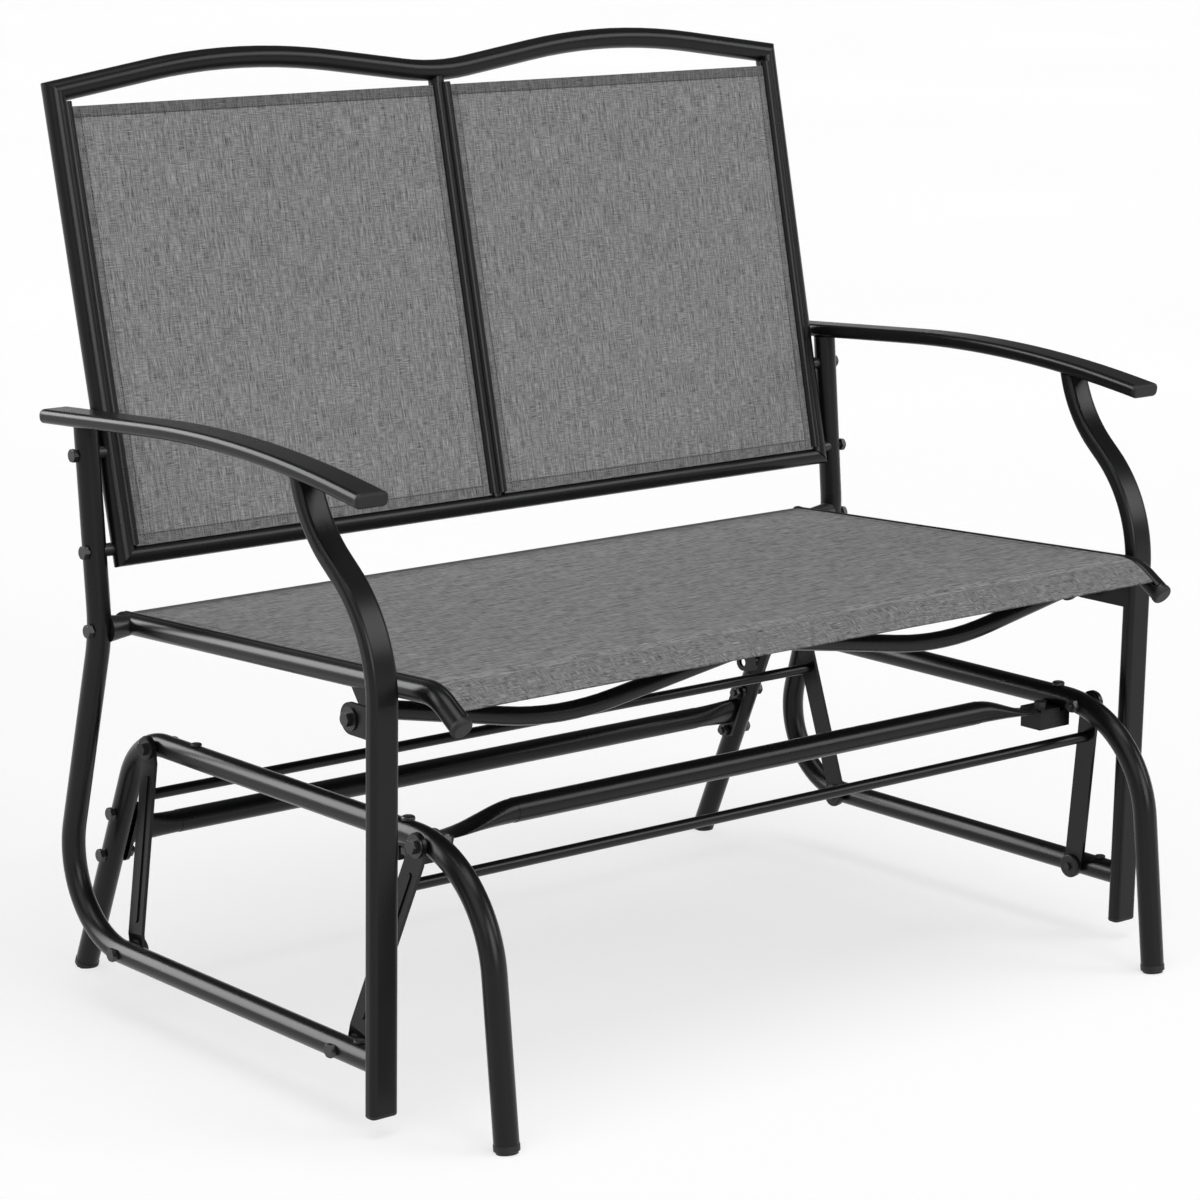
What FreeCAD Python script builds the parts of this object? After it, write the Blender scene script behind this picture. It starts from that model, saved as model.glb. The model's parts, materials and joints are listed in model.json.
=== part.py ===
import FreeCAD, Part
import math
import os

from FreeCAD import Rotation, Vector

# Two-seat patio glider bench in millimetres. The sitters face -Y, +X is to the right of someone
# who looks at the front, +Z is up, and the origin is on the floor under the middle of the bench.

# Planes of the side frames, and how far the other pieces stand off them
SIDE_X = 516.0
ARCH_INSET = 67.0
ARM_OUT = 6.5
RAIL_INSET = 39.0
STILE_INSET = 29.5
ARCH_X = SIDE_X - ARCH_INSET
ARM_X = SIDE_X + ARM_OUT
RAIL_X = SIDE_X - RAIL_INSET
STILE_X = SIDE_X - STILE_INSET

# Base arches, one bent tube per side
ARCH_TUBE_D = 25.4
ARCH_WALL = 1.5
ARCH_AXIS_HEIGHT = 284.0
FRONT_FOOT_Y = -380.0
REAR_FOOT_Y = 382.0
FRONT_LEG_LEAN_DEG = 6.0
REAR_LEG_LEAN_DEG = 23.7
FRONT_BEND_R = 125.0
REAR_BEND_R = 75.0

# Foot caps
FOOT_CAP_D = 26.4
FOOT_CAP_HEIGHT = 9.0
FOOT_DOME_R = 21.5
FOOT_DOME_CENTRE = 20.0
FOOT_SPIGOT_LENGTH = 20.0
SPIGOT_CLEARANCE = 0.1

# Swing links and their pivots
RUNNER_HEIGHT = 74.0
LINK_WIDTH = 26.0
LINK_THICKNESS = 4.0
LINK_TAB = 17.0
LINK_HOLE_D = 13.0
LINK_RIB_WIDTH = 8.0
LINK_RIB_HEIGHT = 1.6
LINK_RIB_ROOT = 1.0
LINK_RIB_END_GAP = 16.0
REAR_PIVOT_Y = 216.0
REAR_LINK_REACH = 24.0
FRONT_PIVOT_Y = -263.0
FRONT_LINK_REACH = 57.0
TIE_ROD_D = 12.0
FRONT_ROD_DROP = 44.0
REAR_ROD_DROP = 50.0
PIVOT_BOLT_D = 8.0
PIVOT_CLEARANCE = 0.05
OPEN_PIVOT_CLEARANCE = 2.3
OPEN_PIVOT_HOLE_D = 15.0
BUSH_FLANGE_D = 21.0
BUSH_FLANGE_T = 1.5
BODY_GAP = 0.3

# Hex fasteners
BOLT_D = 8.0
HEX_ACROSS_FLATS = 13.0
HEAD_HEIGHT = 5.5
DOME_HEAD_D = 14.0
DOME_HEAD_HEIGHT = 4.0
NUT_HEIGHT = 6.5
BOLT_HOLE_CLEARANCE = 0.2
THREAD_CLEARANCE = 0.05
BOLT_TIP = 3.0
WASHER_D = 24.0
WASHER_T = 2.0
DISC_NUT_D = 27.0
DISC_NUT_T = 4.0

# Base cross tubes
CROSS_TUBE_D = 25.4
CROSS_TUBE_WALL = 1.5
REAR_CROSS_HEIGHT = 168.0
REAR_END_WIDTH = 36.0
REAR_END_T = 14.0
REAR_TAPER_LENGTH = 60.0
REAR_PLATE_WIDTH = 21.0
REAR_PLATE_T = 4.0
REAR_BOLT_SPAN = 56.0
FRONT_CROSS_Y = -226.0
FLAT_END_T = 5.0
FLAT_END_WIDTH = 32.0
FLAT_END_LENGTH = 30.0
FLAT_TAPER_LENGTH = 85.0
TAPER_SHOULDER = 0.3
TAPER_SECTIONS = 5
BRACKET_LENGTH = 46.0
BRACKET_WIDTH = 30.0
BRACKET_HEIGHT = 18.0
BRACKET_OVERHANG = 3.0
BRACKET_WALL = 2.5
BAR_PLUG_Y = 148.0
PLUG_D = 9.0
PLUG_RISE = 2.5
PLUG_LIP = 1.5
EAR_HEIGHT = 234.0
EAR_GRIP = 5.0
EAR_HOLE_BEHIND = 10.0
EAR_TILT_DEG = 9.0
EAR_WIDTH = 21.0
EAR_HOLE_D = 11.0
EAR_T = 4.0

# Side frames of the seat carriage
SIDE_TUBE_D = 25.4
SIDE_WALL = 1.5
SIDE_BEND_R = 95.0
POST_BEND_R = 150.0
POST_KNEE_HEIGHT = 414.0
POST_KNEE_Y = 222.5
POST_UPPER_LEAN_DEG = 4.6
POST_LOWER_LEAN_DEG = 16.0
FRONT_POST_WIDTH = 32.0
FRONT_POST_DEPTH = 16.0
FRONT_POST_WALL = 1.5
FRONT_POST_CORNER_R = 6.0
FRONT_POST_BOTTOM = 25.0
FRONT_POST_Y = -268.5
FRONT_POST_KNEE = (-280.0, 502.0)
FRONT_POST_SHOULDER = (-171.0, 595.0)
FRONT_POST_TOP_Y = -163.0
FRONT_POST_FLARE = 6.0
FRONT_POST_KNEE_R = 150.0
FRONT_POST_SHOULDER_R = 140.0
POST_CAP_T = 4.0

# Armrests
ARM_WIDTH = 38.0
ARM_THICKNESS = 15.0
ARM_WALL = 1.5
ARM_REAR = (286.0, 636.0)
ARM_CREST = (-80.0, 657.0)
ARM_FRONT = (-272.0, 627.0)
ARM_CREST_REACH = 170.0
ARM_EDGE_R = 6.0
ARM_PLUG_T = 5.0
ARM_PLUG_DEPTH = 15.0

# Seat rails, spreaders and sling
RAIL_D = 22.0
RAIL_WALL = 1.5
RAIL_REAR = (240.0, 416.5)
RAIL_NOSE = (-312.0, 441.0)
RAIL_FRONT = (-348.0, 417.5)
RAIL_NOSE_R = 55.0
RAIL_BOLT_Y = 221.0
RAIL_CAP_T = 6.0
RAIL_CAP_LIP = 0.6
SPIGOT_DEPTH = 8.0
RAIL_REAR_CAP_T = 3.0
SEAT_TRACK_D = 11.0
SEAT_TRACK_IN = 4.0
SEAT_TRACK_OUT = 6.5
SEAT_SLING_LIFT = 9.4
TRACK_D = 13.0
TRACK_IN = 8.0
TRACK_OUT = 7.5
SLOT_DEPTH = 6.0
SLING_T = 1.6
SLING_CLEARANCE = 0.3
SLING_INSERT = 3.0
SEAT_SLING_REAR_Y = 236.0
SEAT_SLING_FRONT_MARGIN = 5.0
SPREADER_D = 19.0
SPREADER_WALL = 1.5
FRONT_SPREADER_Y = -230.0
FRONT_SPREADER_DROP = 26.0
REAR_SPREADER_Y = 130.0
SPREADER_DIP_X = 265.0
SPREADER_DIP = 68.0
SPREADER_CREST = 26.0
SPREADER_DIP_R = 400.0
SPREADER_CREST_R = 300.0
LUG_REACH = 60.0
LUG_DROP = 34.0
LUG_R = 16.0
LUG_T = 4.0
HANGER_HALF_LENGTH = 40.0
RUNNER_PLUG_Y = -234.0

# Back frame, built upright and then leaned back
BACK_Y = 219.0
BACK_Z = 492.0
BACK_LEAN_DEG = 12.6
STILE_FLARE = 5.0
STILE_D = 24.0
STILE_WALL = 1.5
TOP_RAIL_D = 23.5
TOP_RAIL_WALL = 1.5
TOP_CORNER_V = 486.0
TOP_CREST_X = 256.0
TOP_CREST_V = 521.0
TOP_CREST_REACH = 119.0
TOP_VALLEY_V = 483.5
TOP_VALLEY_REACH = 44.0
BOTTOM_RAIL_D = 21.0
BOTTOM_RAIL_WALL = 1.5
CENTRE_BAR_D = 18.0
CENTRE_WALL = 1.5
BACK_BOLT_HEIGHTS = (500.0, 600.0)
SPACER_D = 14.0
SADDLE_RAIL_D = 20.0
SADDLE_POST_D = 29.0
SADDLE_WRAP = 5.0
RIVET_NUT_D = 10.0
RIVET_NUT_LENGTH = 5.0
RIVET_NUT_INSET = 1.0
BACK_SLING_TOP_V = 469.0

# Share of a cap's thickness that its rounded rim takes
CAP_RIM_SHARE = 0.6

# Values worked out from the sizes above
ARCH_R = ARCH_TUBE_D / 2
FRONT_LEAN = math.tan(math.radians(FRONT_LEG_LEAN_DEG))
REAR_LEAN = math.tan(math.radians(REAR_LEG_LEAN_DEG))
FRONT_CORNER_Y = FRONT_FOOT_Y + FRONT_LEAN * ARCH_AXIS_HEIGHT
REAR_CORNER_Y = REAR_FOOT_Y - REAR_LEAN * ARCH_AXIS_HEIGHT
SIDE_R = SIDE_TUBE_D / 2
RAIL_R = RAIL_D / 2
SEAT_TRACK_R = SEAT_TRACK_D / 2
TRACK_R = TRACK_D / 2
FAR = 2000.0


def bend_start(radius, lean_deg):
    """Distance from a corner to where its bend starts."""
    return radius * math.tan(math.radians(90 - lean_deg) / 2)


def arch_axis_z(y):
    """Height of the arch tube's axis at a place along its bar, bends included."""
    front = FRONT_CORNER_Y + bend_start(FRONT_BEND_R, FRONT_LEG_LEAN_DEG)
    rear = REAR_CORNER_Y - bend_start(REAR_BEND_R, REAR_LEG_LEAN_DEG)
    into, radius = 0.0, FRONT_BEND_R
    if y < front:
        into = front - y
    elif y > rear:
        into, radius = y - rear, REAR_BEND_R
    return ARCH_AXIS_HEIGHT - (radius - math.sqrt(radius**2 - into**2))


REAR_TOP = Vector(0, REAR_PIVOT_Y, arch_axis_z(REAR_PIVOT_Y))
REAR_LOW = Vector(0, REAR_PIVOT_Y - REAR_LINK_REACH, RUNNER_HEIGHT)
FRONT_TOP = Vector(0, FRONT_PIVOT_Y, arch_axis_z(FRONT_PIVOT_Y))
FRONT_LOW = Vector(0, FRONT_PIVOT_Y + FRONT_LINK_REACH, RUNNER_HEIGHT)
LINK_TOP_X = ARCH_X + ARCH_R + BODY_GAP + BUSH_FLANGE_T
LINK_LOW_X = SIDE_X - SIDE_R - BODY_GAP - BUSH_FLANGE_T - LINK_THICKNESS


def in_plane(x, points):
    """Points of a side profile, given as (y, z), at one x."""
    return [Vector(x, y, z) for y, z in points]


def filleted_path(points, radii):
    """A wire of straight runs joined by tangent arcs, one radius per inner point."""
    edges = []
    start = points[0]
    for before, corner, after, radius in zip(points, points[1:], points[2:], radii):
        into = (corner - before).normalize()
        out = (after - corner).normalize()
        half_turn = into.getAngle(out) / 2
        reach = radius * math.tan(half_turn)
        first = corner - into * reach
        last = corner + out * reach
        inward = (out - into).normalize()
        middle = corner + inward * (radius / math.cos(half_turn) - radius)
        edges.append(Part.LineSegment(start, first).toShape())
        edges.append(Part.Arc(first, middle, last).toShape())
        start = last
    edges.append(Part.LineSegment(start, points[-1]).toShape())
    return Part.Wire(edges)


def bend_radius(before, corner, after, reach):
    """Radius of a gentle bend that starts at a given distance before its corner."""
    half_turn = (corner - before).getAngle(after - corner) / 2
    return reach / math.tan(half_turn)


def round_bar(path, diameter):
    """A solid round bar along a path."""
    edge = path.OrderedEdges[0]
    direction = edge.tangentAt(edge.FirstParameter)
    start = edge.valueAt(edge.FirstParameter)
    ring = Part.Wire(Part.Circle(start, direction, diameter / 2).toShape())
    return path.makePipeShell([ring], True, False)


def round_tube(path, diameter, wall):
    """An open-ended round tube along a path."""
    return round_bar(path, diameter).cut(round_bar(path, diameter - 2 * wall))


def straight(start, end):
    """A path of one straight run."""
    return Part.Wire(Part.LineSegment(start, end).toShape())


def rod(start, end, diameter):
    """A solid cylinder between two points."""
    return Part.makeCylinder(diameter / 2, (end - start).Length, start, end - start)


def x_rod(x0, x1, at, diameter):
    """A cylinder along X through a place given in the side view."""
    return rod(Vector(x0, at.y, at.z), Vector(x1, at.y, at.z), diameter)


def hex_bar(start, end):
    """A hexagonal bar between two points."""
    axis = end - start
    turn = Rotation(Vector(0, 0, 1), axis)
    radius = HEX_ACROSS_FLATS / math.sqrt(3)
    ring = []
    for k in range(7):
        angle = math.radians(60 * k + 30)
        ring.append(start + turn.multVec(Vector(radius * math.cos(angle), radius * math.sin(angle), 0)))
    return Part.Face(Part.makePolygon(ring)).extrude(axis)


def bevelled_hex(seat, tip):
    """A hexagonal bar whose corners are turned off at its tip."""
    turned = Part.makeCone(
        HEX_ACROSS_FLATS / 2, HEX_ACROSS_FLATS * 2, HEX_ACROSS_FLATS, tip, seat - tip
    )
    return hex_bar(seat, tip).common(turned)


def nut(start, direction):
    """A hex nut that sits on a face at start."""
    end = start + direction * NUT_HEIGHT
    return bevelled_hex(start, end).cut(rod(start, end, BOLT_D + 2 * THREAD_CLEARANCE))


def hex_bolt(seat, direction, length):
    """A hex bolt whose head sits on a face at seat and whose shank runs along direction."""
    head = bevelled_hex(seat, seat - direction * HEAD_HEIGHT)
    return head.fuse(rod(seat, seat + direction * length, BOLT_D))


def dome_bolt(seat, direction, length):
    """A bolt with a low round head that sits on a face at seat."""
    head = Part.makeCylinder(DOME_HEAD_D / 2, DOME_HEAD_HEIGHT, seat, -direction)
    rim = min(head.Edges, key=lambda edge: edge.CenterOfMass.dot(direction))
    head = head.makeFillet(DOME_HEAD_HEIGHT * CAP_RIM_SHARE, [rim])
    return head.fuse(rod(seat, seat + direction * length, BOLT_D))


def mirrored(shape):
    """The same piece on the other side of the middle plane."""
    return shape.mirror(Vector(0, 0, 0), Vector(1, 0, 0))


def pair(shape):
    """A right-hand piece and its left-hand twin."""
    return [mirrored(shape), shape]


def largest(shape):
    """The biggest solid of a cut that fell into several."""
    return max(shape.Solids, key=lambda solid: solid.Volume)


def save(name, solids):
    """Write one node as a group of its solids."""
    clean = []
    for solid in solids:
        clean.extend(solid.removeSplitter().Solids)
    Part.makeCompound(clean).exportStep("parts/%s.step" % name)


def save_sides(name, shape):
    """Write a right-hand piece and its twin as two nodes."""
    save(name + "_left", [mirrored(shape)])
    save(name + "_right", [shape])


# Base

def leg_direction(lean_deg, towards):
    """Unit vector up a leg that leans towards +Y or -Y."""
    lean = math.radians(lean_deg)
    return Vector(0, towards * math.sin(lean), math.cos(lean))


FRONT_UP = leg_direction(FRONT_LEG_LEAN_DEG, 1)
REAR_UP = leg_direction(REAR_LEG_LEAN_DEG, -1)
FRONT_FLOOR = Vector(ARCH_X, FRONT_FOOT_Y, 0)
REAR_FLOOR = Vector(ARCH_X, REAR_FOOT_Y, 0)
REAR_CROSS = REAR_FLOOR + REAR_UP * (REAR_CROSS_HEIGHT / REAR_UP.z)
REAR_BOLTS = [REAR_CROSS + REAR_UP * (side * REAR_BOLT_SPAN / 2) for side in (-1, 1)]
BAR_BOTTOM = ARCH_AXIS_HEIGHT - ARCH_R
BRACKET_INNER_X = ARCH_X + BRACKET_OVERHANG - BRACKET_LENGTH
BAR_BOLT = Vector(ARCH_X, FRONT_CROSS_Y, 0)
FLAT_BOLT_X = ARCH_X - ARCH_R - FLAT_END_LENGTH / 2


def arch():
    """One bent base tube with its bolt holes."""
    path = filleted_path(
        [
            REAR_FLOOR + REAR_UP * FOOT_CAP_HEIGHT,
            Vector(ARCH_X, REAR_CORNER_Y, ARCH_AXIS_HEIGHT),
            Vector(ARCH_X, FRONT_CORNER_Y, ARCH_AXIS_HEIGHT),
            FRONT_FLOOR + FRONT_UP * FOOT_CAP_HEIGHT,
        ],
        [REAR_BEND_R, FRONT_BEND_R],
    )
    tube = round_tube(path, ARCH_TUBE_D, ARCH_WALL)
    hole_d = BOLT_D + 2 * BOLT_HOLE_CLEARANCE
    pivot_hole_d = PIVOT_BOLT_D + 2 * BOLT_HOLE_CLEARANCE
    for at in REAR_BOLTS:
        tube = tube.cut(x_rod(ARCH_X - ARCH_TUBE_D, ARCH_X + ARCH_TUBE_D, at, hole_d))
    for at in (REAR_TOP, FRONT_TOP):
        tube = tube.cut(x_rod(ARCH_X - ARCH_TUBE_D, ARCH_X + ARCH_TUBE_D, at, pivot_hole_d))
    low = BAR_BOLT + Vector(0, 0, ARCH_AXIS_HEIGHT - ARCH_TUBE_D)
    high = BAR_BOLT + Vector(0, 0, ARCH_AXIS_HEIGHT + ARCH_TUBE_D)
    tube = tube.cut(rod(low, high, hole_d))
    drain = Vector(ARCH_X, BAR_PLUG_Y, ARCH_AXIS_HEIGHT)
    return tube.cut(rod(drain, drain + Vector(0, 0, ARCH_TUBE_D), PLUG_D))


def foot_cap(floor, up):
    """A domed plug with a flat resting spot, in the lower end of a leg."""
    centre = floor + up * FOOT_DOME_CENTRE
    body = rod(floor - up * FOOT_CAP_HEIGHT, floor + up * FOOT_CAP_HEIGHT, FOOT_CAP_D)
    body = body.common(Part.makeSphere(FOOT_DOME_R, centre))
    spigot_d = ARCH_TUBE_D - 2 * ARCH_WALL - 2 * SPIGOT_CLEARANCE
    spigot = rod(floor, floor + up * (FOOT_CAP_HEIGHT + FOOT_SPIGOT_LENGTH), spigot_d)
    above = Part.makeBox(FAR, FAR, FAR, Vector(-FAR / 2, -FAR / 2, 0))
    return body.fuse(spigot).common(above)


def tapered_end(sections):
    """A smooth solid through ovals, each given as centre, long half axis and short half axis."""
    rings = []
    for centre, long_half, short_half in sections:
        rings.append(Part.Wire(Part.Ellipse(centre + long_half, centre + short_half, centre).toShape()))
    return Part.makeLoft(rings, True)


def eased(share):
    """A share between 0 and 1 that starts and ends gently."""
    return share * share * (3 - 2 * share)


def blend(first, last, share):
    """The value between two that lies at an eased share of the way."""
    return first + (last - first) * eased(share)


TAPER_SHARES = [k / (TAPER_SECTIONS - 1) for k in range(TAPER_SECTIONS)]
TAPER_START_LONG = CROSS_TUBE_D - 2 * TAPER_SHOULDER
TAPER_START_SHORT = CROSS_TUBE_D - 3 * TAPER_SHOULDER


def front_cross_tube():
    """Round tube whose ends are pressed flat and lie on the brackets."""
    end_x = ARCH_X - ARCH_R - BODY_GAP
    flat_x = end_x - FLAT_END_LENGTH
    round_x = flat_x - FLAT_TAPER_LENGTH
    sections = []
    for share in TAPER_SHARES:
        width = blend(TAPER_START_LONG, FLAT_END_WIDTH - 2 * TAPER_SHOULDER, share)
        height = blend(TAPER_START_SHORT, FLAT_END_T - TAPER_SHOULDER, share)
        middle = BAR_BOTTOM + blend(CROSS_TUBE_D, FLAT_END_T, share) / 2
        centre = Vector(round_x + share * FLAT_TAPER_LENGTH, FRONT_CROSS_Y, middle)
        sections.append((centre, Vector(0, width / 2, 0), Vector(0, 0, height / 2)))
    z = BAR_BOTTOM + CROSS_TUBE_D / 2
    run = straight(Vector(-round_x, FRONT_CROSS_Y, z), Vector(round_x, FRONT_CROSS_Y, z))
    middle_tube = round_tube(run, CROSS_TUBE_D, CROSS_TUBE_WALL)
    corner = Vector(flat_x, FRONT_CROSS_Y - FLAT_END_WIDTH / 2, BAR_BOTTOM)
    flat = Part.makeBox(FLAT_END_LENGTH, FLAT_END_WIDTH, FLAT_END_T, corner)
    end = tapered_end(sections).fuse(flat)
    bolt = Vector(FLAT_BOLT_X, FRONT_CROSS_Y, 0)
    end = end.cut(rod(bolt, bolt + Vector(0, 0, FAR), BOLT_D + 2 * BOLT_HOLE_CLEARANCE))
    return middle_tube.fuse(end).fuse(mirrored(end))


def rear_cross_tube():
    """Round tube whose ends are pressed into tall ovals against the end plates."""
    end_x = ARCH_X - ARCH_R - REAR_PLATE_T
    round_x = end_x - REAR_TAPER_LENGTH
    across = Vector(0, REAR_UP.z, -REAR_UP.y)
    sections = []
    for share in TAPER_SHARES:
        width = blend(TAPER_START_LONG, REAR_END_WIDTH, share)
        depth = blend(TAPER_START_SHORT, REAR_END_T, share)
        centre = Vector(round_x + share * REAR_TAPER_LENGTH, REAR_CROSS.y, REAR_CROSS.z)
        sections.append((centre, REAR_UP * (width / 2), across * (depth / 2)))
    start = Vector(-round_x, REAR_CROSS.y, REAR_CROSS.z)
    middle_tube = round_tube(straight(start, mirror_x(start)), CROSS_TUBE_D, CROSS_TUBE_WALL)
    end = tapered_end(sections)
    return middle_tube.fuse(end).fuse(mirrored(end))


def leg_ear():
    """Holed tab on the inner side of the right rear leg."""
    inner_x = ARCH_X - ARCH_R - EAR_T
    on_leg = REAR_FLOOR + REAR_UP * (EAR_HEIGHT / REAR_UP.z)
    on_side = Vector(inner_x, on_leg.y, on_leg.z)
    forward = leg_direction(90 - EAR_TILT_DEG, -1)
    hole = on_side - forward * EAR_HOLE_BEHIND
    tab = slot_prism(hole, on_side + forward * EAR_GRIP, EAR_WIDTH, Vector(1, 0, 0), EAR_T)
    return tab.cut(x_rod(inner_x, inner_x + EAR_T, hole, EAR_HOLE_D))


def front_bracket():
    """Channel under the arch bar that carries the flat end of the front cross tube."""
    corner = Vector(BRACKET_INNER_X, FRONT_CROSS_Y - BRACKET_WIDTH / 2, BAR_BOTTOM - BRACKET_HEIGHT)
    channel = Part.makeBox(BRACKET_LENGTH, BRACKET_WIDTH, BRACKET_HEIGHT, corner)
    inside = Part.makeBox(
        BRACKET_LENGTH - BRACKET_WALL,
        BRACKET_WIDTH - 2 * BRACKET_WALL,
        BRACKET_HEIGHT - BRACKET_WALL,
        corner + Vector(BRACKET_WALL, BRACKET_WALL, 0),
    )
    channel = channel.cut(inside)
    for x in (ARCH_X, FLAT_BOLT_X):
        hole = Vector(x, FRONT_CROSS_Y, 0)
        channel = channel.cut(rod(hole, hole + Vector(0, 0, FAR), BOLT_D + 2 * BOLT_HOLE_CLEARANCE))
    return channel


def bracket_fasteners():
    """Upright bolts and nuts of one front bracket."""
    down = Vector(0, 0, -1)
    under = BAR_BOTTOM - BRACKET_WALL
    bar_top = Vector(ARCH_X, FRONT_CROSS_Y, ARCH_AXIS_HEIGHT + ARCH_R)
    flat_top = Vector(FLAT_BOLT_X, FRONT_CROSS_Y, BAR_BOTTOM + FLAT_END_T)
    bolts = []
    nuts = []
    for seat, bolt in ((bar_top, dome_bolt), (flat_top, hex_bolt)):
        bolts.append(bolt(seat, down, seat.z - under + NUT_HEIGHT + BOLT_TIP))
        nuts.append(nut(Vector(seat.x, seat.y, under), down))
    return bolts, nuts


def rear_plate():
    """End plate of the rear cross tube, against the inner side of a rear leg."""
    outer_x = ARCH_X - ARCH_R
    inner_x = outer_x - REAR_PLATE_T
    low, high = [Vector(inner_x, at.y, at.z) for at in REAR_BOLTS]
    plate = slot_prism(low, high, REAR_PLATE_WIDTH, Vector(1, 0, 0), REAR_PLATE_T)
    for at in REAR_BOLTS:
        plate = plate.cut(x_rod(inner_x, outer_x, at, BOLT_D + 2 * BOLT_HOLE_CLEARANCE))
    return plate


def rear_fasteners():
    """Bolts through one rear leg and its end plate."""
    inward = Vector(-1, 0, 0)
    plate_face = ARCH_X - ARCH_R - REAR_PLATE_T
    head_face = ARCH_X + ARCH_R
    length = head_face - plate_face + NUT_HEIGHT + BOLT_TIP
    bolts = []
    nuts = []
    for at in REAR_BOLTS:
        bolts.append(hex_bolt(Vector(head_face, at.y, at.z), inward, length))
        nuts.append(nut(Vector(plate_face, at.y, at.z), inward))
    return bolts, nuts


def top_pivot(at):
    """Upper pivot bolt with its broad washer, and the nut inside the arch."""
    washer_x = LINK_TOP_X + LINK_THICKNESS + BODY_GAP
    inner_x = ARCH_X - ARCH_R
    washer = x_rod(washer_x, washer_x + WASHER_T, at, WASHER_D)
    seat = Vector(washer_x + WASHER_T, at.y, at.z)
    bolt = hex_bolt(seat, Vector(-1, 0, 0), seat.x - inner_x + NUT_HEIGHT + BOLT_TIP)
    return washer.fuse(bolt), nut(Vector(inner_x, at.y, at.z), Vector(-1, 0, 0))


def plug(top):
    """Domed plug in a drain hole on top of a tube."""
    stem = rod(top - Vector(0, 0, 2 * ARCH_WALL), top, PLUG_D - 2 * SPIGOT_CLEARANCE)
    dome = Part.makeCylinder(PLUG_D / 2 + PLUG_LIP, PLUG_RISE, top)
    rim = max(dome.Edges, key=lambda edge: edge.CenterOfMass.z)
    return stem.fuse(dome.makeFillet(PLUG_RISE * CAP_RIM_SHARE, [rim]))


def build_base():
    """Every piece that stands still."""
    save_sides("arch", arch())
    caps = [foot_cap(FRONT_FLOOR, FRONT_UP), foot_cap(REAR_FLOOR, REAR_UP)]
    save("foot_caps", [side for cap in caps for side in pair(cap)])
    save("front_cross_tube", [front_cross_tube()])
    save("front_cross_brackets", pair(front_bracket()))
    bolts, nuts = bracket_fasteners()
    save("front_bracket_bolts", [side for bolt in bolts for side in pair(bolt)])
    save("front_bracket_nuts", [side for piece in nuts for side in pair(piece)])
    save("rear_cross_tube", [rear_cross_tube()])
    save("rear_cross_plates", pair(rear_plate()))
    save("rear_leg_ear", [leg_ear()])
    bolts, nuts = rear_fasteners()
    save("rear_leg_bolts", [side for bolt in bolts for side in pair(bolt)])
    save("rear_leg_nuts", [side for piece in nuts for side in pair(piece)])
    pivots = [top_pivot(REAR_TOP), top_pivot(FRONT_TOP)]
    save("upper_pivot_bolts", [side for bolt, _ in pivots for side in pair(bolt)])
    save("upper_pivot_nuts", [side for _, piece in pivots for side in pair(piece)])
    save("bar_plugs", pair(plug(Vector(ARCH_X, BAR_PLUG_Y, ARCH_AXIS_HEIGHT + ARCH_R))))


def mirror_x(point):
    """The same place on the other side."""
    return Vector(-point.x, point.y, point.z)


# Swing links

def link(top, low, low_hole_d):
    """Joggled flat link with a stamped rib, from its upper to its lower pivot."""
    shift = LINK_LOW_X - LINK_TOP_X
    length = (low - top).Length
    end = LINK_WIDTH / 2
    face = [
        (0, end), (0, -LINK_TAB), (shift, LINK_TAB - length), (shift, -length - end),
    ]
    outline = [Vector(x, -end, w) for x, w in face]
    outline += [Vector(x + LINK_THICKNESS, -end, w) for x, w in reversed(face)]
    strip = Part.Face(Part.makePolygon(outline + outline[:1])).extrude(Vector(0, LINK_WIDTH, 0))
    slope = Vector(shift, 0, 2 * LINK_TAB - length).normalize()
    rib_start = Vector(LINK_THICKNESS, 0, -LINK_TAB) + slope * LINK_RIB_END_GAP
    rib_end = Vector(shift + LINK_THICKNESS, 0, LINK_TAB - length) - slope * LINK_RIB_END_GAP
    out = Vector(-slope.z, 0, slope.x)
    root = out * LINK_RIB_ROOT
    rib = slot_prism(rib_start - root, rib_end - root, LINK_RIB_WIDTH, out, LINK_RIB_ROOT + LINK_RIB_HEIGHT)
    strip = strip.fuse(rib)
    rounding = slot_prism(
        Vector(-FAR / 2, 0, 0), Vector(-FAR / 2, 0, -length), LINK_WIDTH, Vector(1, 0, 0), FAR
    )
    strip = strip.common(rounding)
    for w, hole_d in ((0, LINK_HOLE_D), (-length, low_hole_d)):
        strip = strip.cut(x_rod(-FAR, FAR, Vector(0, 0, w), hole_d))
    return hang(strip, top, low)


def slot_prism(start, end, width, direction, length):
    """A prism with two round ends, its centres at start and end."""
    run = end - start
    side = run.cross(direction).normalize() * (width / 2)
    box = Part.Face(
        Part.makePolygon([start + side, end + side, end - side, start - side, start + side])
    ).extrude(direction * length)
    for centre in (start, end):
        box = box.fuse(Part.makeCylinder(width / 2, length, centre, direction))
    return box.removeSplitter()


def hang(shape, top, low):
    """Turn a piece that hangs straight down so that it runs from top to low, and place it."""
    run = low - top
    lean = math.degrees(math.atan2(run.y, -run.z))
    hung = shape.copy()
    hung.rotate(Vector(0, 0, 0), Vector(1, 0, 0), lean)
    hung.translate(Vector(LINK_TOP_X, top.y, top.z))
    return hung


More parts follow.
